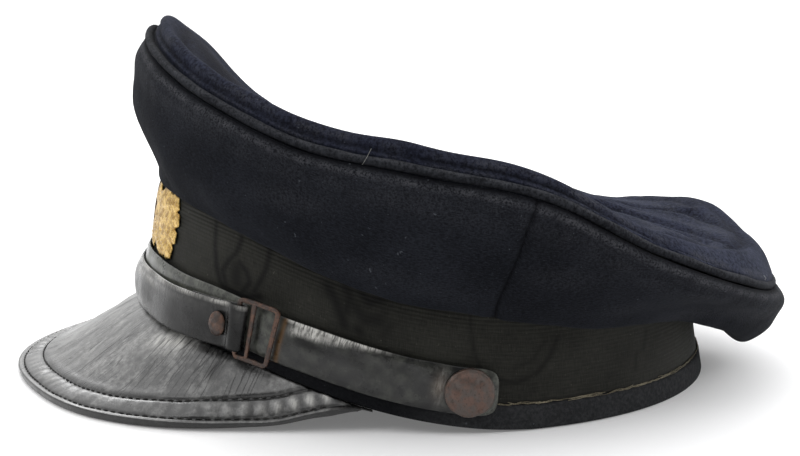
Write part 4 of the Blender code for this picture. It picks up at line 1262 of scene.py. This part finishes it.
def over_strap():
    half = STRAP_WIDTH / 2
    buckle = OVER_LINE.along(BUCKLE_ANGLE)
    bar, stud = buckle - BUCKLE_LENGTH / 2 + BUCKLE_BAR / 2, buckle - STUD_STEP
    tail = bar - FOLD_TAIL
    turn = bar + BUCKLE_BAR * 0.3
    reach = (FRONT_OUT - BACK_OUT) / 2
    side = [(place, BACK_OUT, half, 0.0) for place in (tail, stud, bar)]
    for bend in math.pi * (np.arange(9) / 8 - 0.5):
        side.append((turn + reach * math.cos(bend), BUCKLE_OUT + reach * math.sin(bend), half, 0.0))
    side += [
        (bar - BUCKLE_BAR, FRONT_OUT, half, 0.0), (stud + STUD_WIDTH / 2, STUD_OUT, half, 0.0),
        (stud - STUD_WIDTH / 2, STUD_OUT, half, 0.0), (tail - STRAP_WALL, STUD_OUT, half, 0.1),
    ]
    start = tail - 4 * STRAP_WALL
    rising = np.array([0.0, 1.0])
    for place in np.linspace(start, start / 15, 15):
        cup = STRAP_CUP * float(smooth(rising, 1 - rising, place / start))
        lowered = float(smooth(rising, rising, (start - place) / 24.0))
        side.append((place, STUD_OUT + (BACK_OUT - STUD_OUT) * lowered, half, cup))
    path = side + [(-place, *rest) for place, *rest in reversed(side)]
    piece, along, up, face = strap("strap_over_leather", OVER_LINE, path, OVER_LEATHER, "strap_over")
    side = np.abs(along)
    clouds = mottle(along / 11.0, up / 5.0, 82)
    # Painted highlight, with some wear, on the upper part and along the top edge; painted shade at the
    # fold by the bar and along the lower part
    worn = 0.35 * hump(up, 4.6, 1.8) * (0.3 + 0.7 * clouds)
    worn += 0.35 * hump(side, 2.0, 16.0) * hump(up, 2.5, 3.0)
    worn += 0.25 * hump(side, 40.0, 9.0) * hump(up, -2.0, 3.0) * clouds
    shine = 0.9 * hump(up, 7.1, 0.45) * ramp(side, 8.0, 14.0) * (0.4 + 0.6 * clouds)
    shine += 0.62 * hump(up, 4.6, 1.5) * hump(side, 28.0, 18.0) * (0.35 + 0.65 * clouds)
    dark = 0.9 * hump(side, bar - 1.5, 1.8) + (0.35 + 0.5 * clouds) * ramp(up, 2.5, -3.5)
    # Its path runs round the buckle, so the face that is seen is the inner one
    shown = face < 0.5
    paint(piece, len(along), worn=shown * worn, dark=shown * dark, amber=0 * worn, shine=shown * shine)


# Metal pieces

def turned(name, line, centre, size, base, profile, material, slot, node, relief=None, sides=72):
    """A round or oval piece on a line, from radius shares and distances out from its base."""
    rows = np.array(profile)
    lengths = np.concatenate([[0.0], np.cumsum(np.hypot(np.diff(rows[:, 0]) * 6, np.diff(rows[:, 1])))])
    at = np.linspace(0.0, lengths[-1], (len(rows) - 1) * 6)
    radii, outs = (smooth(lengths, rows[:, k], at, False)[:, None] for k in range(2))
    turns = np.arange(sides) * 2 * math.pi / sides
    along, up = radii * size[0] / 2 * np.cos(turns), radii * size[1] / 2 * np.sin(turns)
    out = base + np.broadcast_to(outs, along.shape)
    if relief:
        along, up, out = relief(along, up, out, turns)
    points = line.point(centre + along, up, out).reshape(-1, 3)
    last = len(points) - sides
    points = np.concatenate([points, [points[last:].mean(axis=0)]])
    faces = numbered(section_faces(len(radii), sides), len(radii), sides)
    fan = [[last + k, last + (k + 1) % sides, last + sides] for k in range(sides)]
    dress(build_mapped(name, points, faces[:-2] + fan + faces[-2:-1], (1, 2), material, 50), slot, node)


def buttons():
    thick = BUTTON_THICK
    base = UNDER_OUT + STRAP_WALL / 2 + GAP
    profile = [(radius, thick * height) for radius, height in (
        (0.88, 0.0), (0.97, 0.12), (1.0, 0.42), (0.97, 0.68), (0.90, 0.80), (0.72, 0.80),
        (0.35, 0.92), (0.04, 0.97),
    )]
    for side, sign, seed in (("left", 1, 91), ("right", -1, 95)):
        def relief(along, up, out, turns, seed=seed, sign=sign):
            wobble = 1 + 0.022 * ripple(3 * np.cos(turns) / 2.6, 3 * np.sin(turns) / 2.6, seed)
            along, up = along * wobble, up * wobble
            face = ramp(out, base + thick * 0.5, thick * 0.3)
            dents = 0.16 * ripple(along / 3.4, up / 3.4, seed + 1, 7)
            dents = dents - 0.7 * hump(np.hypot(along - 2.9 * sign, up - 3.7), 0.0, 0.55)
            dents = dents - 0.8 * hump(np.hypot(along + 6.3 * sign, up - 4.6), 0.0, 1.2)
            return along, up, out + face * dents
        turned(
            f"button_{side}_metal", UNDER_LINE, sign * UNDER_LINE.along(BUTTON_ANGLE),
            (BUTTON_DIAMETER, BUTTON_DIAMETER), base, profile, BROWN, "brown_metal",
            f"button_{side}", relief, 96,
        )


def studs():
    base = STUD_OUT + STRAP_WALL / 2 + GAP
    dome = STUD_DOME
    profile = (
        (0.9, 0.0), (1.0, 0.3), (0.93, dome * 0.52), (0.72, dome * 0.82), (0.40, dome),
        (0.05, dome * 1.04),
    )
    centre = OVER_LINE.along(BUCKLE_ANGLE) - STUD_STEP
    for side, sign, seed in (("left", 1, 101), ("right", -1, 105)):
        def relief(along, up, out, turns, seed=seed):
            return along, up, out + 0.10 * (out > base + 0.4) * ripple(along / 2.2, up / 2.2, seed)
        turned(
            f"stud_{side}_metal", OVER_LINE, sign * centre, (STUD_WIDTH, STUD_HEIGHT), base,
            profile, RUST, "brown_metal", f"stud_{side}", relief, 64,
        )


def squared(turns, power):
    """Cosines and sines of angles, pushed out towards the corners of a square."""
    return [np.sign(v) * np.abs(v) ** power for v in (np.cos(turns), np.sin(turns))]


def bar_shape(path, wide, thick, closed, sign):
    """A rounded bar along a path of places along and up on the outer strap's line."""
    path = np.asarray(path, float)
    if closed:
        ways = np.roll(path, -1, axis=0) - np.roll(path, 1, axis=0)
    else:
        ways = np.gradient(path, axis=0)
    ways = unit(ways)
    across = np.stack([-ways[:, 1], ways[:, 0]], 1)
    flat, rise = squared(np.arange(12) * 2 * math.pi / 12, 0.6)
    wear = 1 + 0.05 * ripple(path[:, 0:1] / 4.0, path[:, 1:2] / 4.0, 111, 6)
    place = path[:, None] + across[:, None] * (flat / 2 * wide * wear)[..., None]
    out = BUCKLE_OUT + rise / 2 * thick * wear
    return solid_shape(OVER_LINE.point(sign * place[..., 0], place[..., 1], out), closed)


def buckles():
    """Flat frames with rounded corners and one bar inside."""
    centre = OVER_LINE.along(BUCKLE_ANGLE)
    wide, corner = 1.5, 1.3
    half_long = BUCKLE_LENGTH / 2 - wide / 2 + 0.15
    half_tall = STRAP_WIDTH / 2 + STRAP_CLEAR + BUCKLE_BAR - wide / 2 + 0.25
    flat_long, flat_tall = half_long - corner, half_tall - corner
    frame_path = []
    for cx, cy, first, step_x, step_y in (
        (1, -1, -90, 0, 2 * flat_tall), (1, 1, 0, -2 * flat_long, 0),
        (-1, 1, 90, 0, -2 * flat_tall), (-1, -1, 180, 2 * flat_long, 0),
    ):
        for turn in np.radians(first + np.arange(6) * 18):
            ax = centre + cx * flat_long + corner * math.cos(turn)
            ay = cy * flat_tall + corner * math.sin(turn)
            frame_path.append((ax, ay))
        frame_path += [(ax + step_x * k / 12, ay + step_y * k / 12) for k in range(1, 12)]
    inside = centre - BUCKLE_LENGTH / 2 + BUCKLE_BAR_STEP + BUCKLE_BAR / 2
    bar_path = [(inside, up) for up in np.linspace(-half_tall, half_tall, 20)]
    for side, sign in (("left", 1), ("right", -1)):
        shapes = [
            bar_shape(frame_path, wide, BUCKLE_THICK, True, sign),
            bar_shape(bar_path, 1.4, BUCKLE_THICK * 0.9, False, sign),
        ]
        dress(build_joined(f"buckle_{side}_metal", shapes, RUST), "rusted_steel", f"buckle_{side}")


# Badge

def on_badge(along, up, out, ladder=False):
    """A small solid on the badge's line, from rows of closed sections."""
    return solid_shape(BADGE_LINE.point(along, up, out), ladder=ladder)


def leaf_shape(along, up, turn, length, width, low, high):
    """A pointed leaf with a midrib and veins."""
    t = np.linspace(0.0, 1.0, 28)[:, None]
    s = np.linspace(-1.0, 1.0, 15)[None, :]
    lobes = 1 + 0.10 * np.cos(t * 2 * math.pi * 4)
    x = (t - 0.5) * length
    y = s * width / 2 * np.sin(math.pi * np.clip(t * 0.94 + 0.02, 0, 1)) ** 0.45 * lobes
    veins = 0.16 * np.cos((t * 7 - np.abs(s) * 1.1) * 2 * math.pi)
    rise = np.clip((1 - s ** 2) ** 0.55 * (0.72 + veins) + 0.34 * hump(s, 0.0, 0.10), 0, 1.1)
    ends = np.sin(math.pi * np.clip(t, 0.03, 0.97)) ** 0.3
    out = low + 0.15 + (high - low - 0.15) * rise * ends
    plan_along = along + x * math.cos(turn) - y * math.sin(turn)
    plan_up = up + x * math.sin(turn) + y * math.cos(turn)
    both = [(plan_along, plan_along), (plan_up, plan_up), (out, np.full_like(out, low))]
    return on_badge(*(np.hstack([front, back[:, ::-1]]) for front, back in both), ladder=True)


def plate_shape(half_long, half_tall, high, power=2.0):
    """A domed plate with an oval outline."""
    c, s = squared(np.arange(48) * 2 * math.pi / 48, 2 / power)
    share = np.array([1.0, 1.0, 0.94, 0.5, 0.02])[:, None]
    out = GAP + high * np.array([0.0, 0.5, 1.0, 1.0, 1.0])[:, None]
    return on_badge(c * half_long * share, s * half_tall * share, out + 0 * c)


# Leaves on one side of the badge: place along and up as shares of its half width and half
# height, the way it points in degrees, and its length and width as shares of the badge's
LEAVES = (
    (0.30, 0.68, 30.0, 0.17, 0.36),
    (0.30, -0.68, -30.0, 0.17, 0.36),
    (0.38, 0.00, 0.0, 0.19, 0.42),
    (0.50, 0.50, 24.0, 0.18, 0.38),
    (0.50, -0.50, -24.0, 0.18, 0.38),
    (0.64, 0.80, 20.0, 0.17, 0.34),
    (0.64, -0.80, -20.0, 0.17, 0.34),
    (0.66, 0.10, 4.0, 0.19, 0.40),
    (0.83, 0.74, 16.0, 0.15, 0.38),
    (0.84, 0.26, 6.0, 0.17, 0.36),
    (0.83, -0.26, -6.0, 0.16, 0.36),
    (0.80, -0.76, -16.0, 0.15, 0.38),
)


def badge():
    half_long, half_tall = BADGE_WIDTH / 2, BADGE_HEIGHT / 2
    shapes = [
        plate_shape(BOSS_WIDTH * 0.62, half_tall * 0.97, BADGE_THICK * 0.5),
        plate_shape(half_long * 0.88, half_tall * 0.86, BADGE_THICK * 0.45, power=5.0),
    ]
    for side in (1, -1):
        for number, (along, up, turn, long, wide) in enumerate(LEAVES):
            way = math.radians(turn) if side > 0 else math.pi - math.radians(turn)
            high = GAP + BADGE_THICK + 0.06 * (number % 3)
            shapes.append(leaf_shape(
                side * along * half_long, up * half_tall * 0.86, way, BADGE_WIDTH * long,
                BADGE_HEIGHT * wide, GAP, high,
            ))
    dress(build_joined("badge_wreath_metal", shapes, GILT), "gilt", "badge_wreath")
    profile = (
        (1.0, 0.0), (1.01, 0.3), (0.93, 0.55), (0.86, 0.42), (0.78, 0.5), (0.5, BOSS_DOME * 0.9),
        (0.05, BOSS_DOME),
    )
    turned(
        "badge_boss_metal", BADGE_LINE, 0.0, (BOSS_WIDTH, BADGE_HEIGHT * 0.9),
        2 * GAP + BADGE_THICK * 0.5, profile, BRONZE, "dark_bronze", "badge_boss",
    )


# Loose threads

def frayed_threads():
    """Tan threads that have come loose where the ribbon meets the welt."""
    source = np.random.default_rng(7)
    shapes = []
    starts = np.arange(-176.0, 176.0, 6.5)
    for start in np.repeat(starts[np.abs(starts) >= 84], 3):
        angles = start + source.uniform(-3, 3) + np.linspace(0.0, source.uniform(5.0, 12.0), 16)
        up = WELT_HEIGHT + 0.25 + 0.32 * line_ripple(angles / 3.0, int(source.integers(1000)))
        out = 0.30 + 0.18 * line_ripple(angles / 2.0, int(source.integers(1000)))
        path = wall_point(angles, up + source.uniform(-0.25, 0.45), out)
        shapes.append(tube_shape(path, source.uniform(0.07, 0.14)))
    dress(build_joined("welt_loose_threads", shapes, TAN_THREAD), "black_ribbon")


# Pale hairs on the wool: where they start round the cord in degrees, how far over it, how
# far they run down and along in millimetres, and how much they curl
HAIRS = (
    (73.8, 4.0, 5.2, -2.4, 0.4), (52.5, -3.0, 2.0, -0.4, 0.4), (148.0, 3.0, 1.3, 1.0, 0.8),
)
HAIR_RADIUS = 0.055


def stray_hairs():
    t = np.linspace(0.0, 1.0, 14)[:, None]
    shapes = []
    for angle, over_cord, down, along, curl in HAIRS:
        middle, outward, over = (row[0] for row in piping_frame(np.array([angle])))
        way = middle + over * (over_cord - down * t) + outward * (2.4 + 0.4 * np.sin(math.pi * t))
        way = way + np.cross(over, outward) * (along * t + curl * np.sin(2.2 * t))
        shapes.append(tube_shape(way, HAIR_RADIUS))
    dress(build_joined("stray_hairs", shapes, PALE_HAIR), "navy_wool")


# Stage, light and camera

def floor():
    mesh = bpy.data.meshes.new("floor")
    size = 20.0
    corners = [(-size, -size, 0), (size, -size, 0), (size, size, 0), (-size, size, 0)]
    mesh.from_pydata(corners, [], [(0, 1, 2, 3)])
    m = Material("floor_white")
    tone = m.span(m.noise(3.0, 2.0, 0.5), 0.3, 0.7)
    mesh.materials.append(m.surface({
        "Base Color": m.blend(tone, (0.83, 0.83, 0.84), (0.87, 0.87, 0.87)), "Roughness": 0.7,
        "Specular IOR Level": 0.2, "Emission Color": (1.0, 1.0, 1.0), "Emission Strength": 0.15,
    }))
    piece = bpy.data.objects.new("floor", mesh)
    piece.location.z = -0.0002
    bpy.context.collection.objects.link(piece)


def lamp(name, kind, way, energy, **settings):
    """A light that shines on the cap from a direction."""
    data = bpy.data.lights.new(name, kind)
    data.energy = energy
    for key, value in settings.items():
        setattr(data, key, value)
    made = bpy.data.objects.new(name, data)
    made.rotation_euler = Vector(way).to_track_quat("Z", "Y").to_euler()
    bpy.context.collection.objects.link(made)
    return made


def lights_and_camera():
    scene = bpy.context.scene
    scene.world = bpy.data.worlds.new("studio")
    scene.world.use_nodes = True
    m = Nodes(scene.world.node_tree)
    way = m.add("TexCoord", "Generated")
    across, up = (m.add("SeparateXYZ", axis, {0: way}) for axis in "XZ")
    background = m.tree.nodes["Background"].inputs
    m.put(background["Color"], (1.0, 1.0, 1.0))
    sky = m.span(up, 0.0, 0.7, 0.95, 1.45)
    m.put(background["Strength"], m.times(sky, m.span(across, 0.0, 0.8, 1.0, 0.18)))
    scene.view_settings.view_transform = "Standard"
    lamp("overhead_softbox", "SUN", (-0.05, 0.12, 1.0), 0.9, angle=math.radians(95))
    for name, way, size, power in (
        ("rear_softbox", (-0.74, -0.30, 0.61), 0.55, 5.0),
        ("side_softbox", (0.55, -0.55, 0.62), 0.35, 1.6),
        ("right_softbox", (-0.20, 0.86, 0.42), 0.60, 4.0),
    ):
        made = lamp(name, "AREA", way, power, shape="SQUARE", size=size)
        made.location = Vector(way).normalized() * 1.2 + Vector((0.0, 0.0, 0.05))
        made.visible_camera = False
    data = bpy.data.cameras.new("camera")
    data.sensor_width = 36.0
    data.lens = 64.94
    data.clip_start, data.clip_end = 0.01, 100.0
    camera = bpy.data.objects.new("camera", data)
    bpy.context.collection.objects.link(camera)
    eye = Vector(CENTRE) + Vector((0.520, -0.0089, 0.145))
    target = Vector(CENTRE) + Vector((0.0, -0.0089, 0.0486))
    camera.location = eye
    camera.rotation_euler = (target - eye).to_track_quat("-Z", "Y").to_euler()
    scene.camera = camera


crown_side("crown_side_front_cloth", -SEAM_ANGLE, SEAM_ANGLE, WOOL_SIDE, "crown_side_front")
crown_side("crown_side_rear_cloth", SEAM_ANGLE, 360.0 - SEAM_ANGLE, WOOL_REAR, "crown_side_rear")
piping()
crown_top()
band()
welt()
peak_stitches(*peak())
under_strap()
over_strap()
buttons()
studs()
buckles()
badge()
frayed_threads()
stray_hairs()
floor()
lights_and_camera()
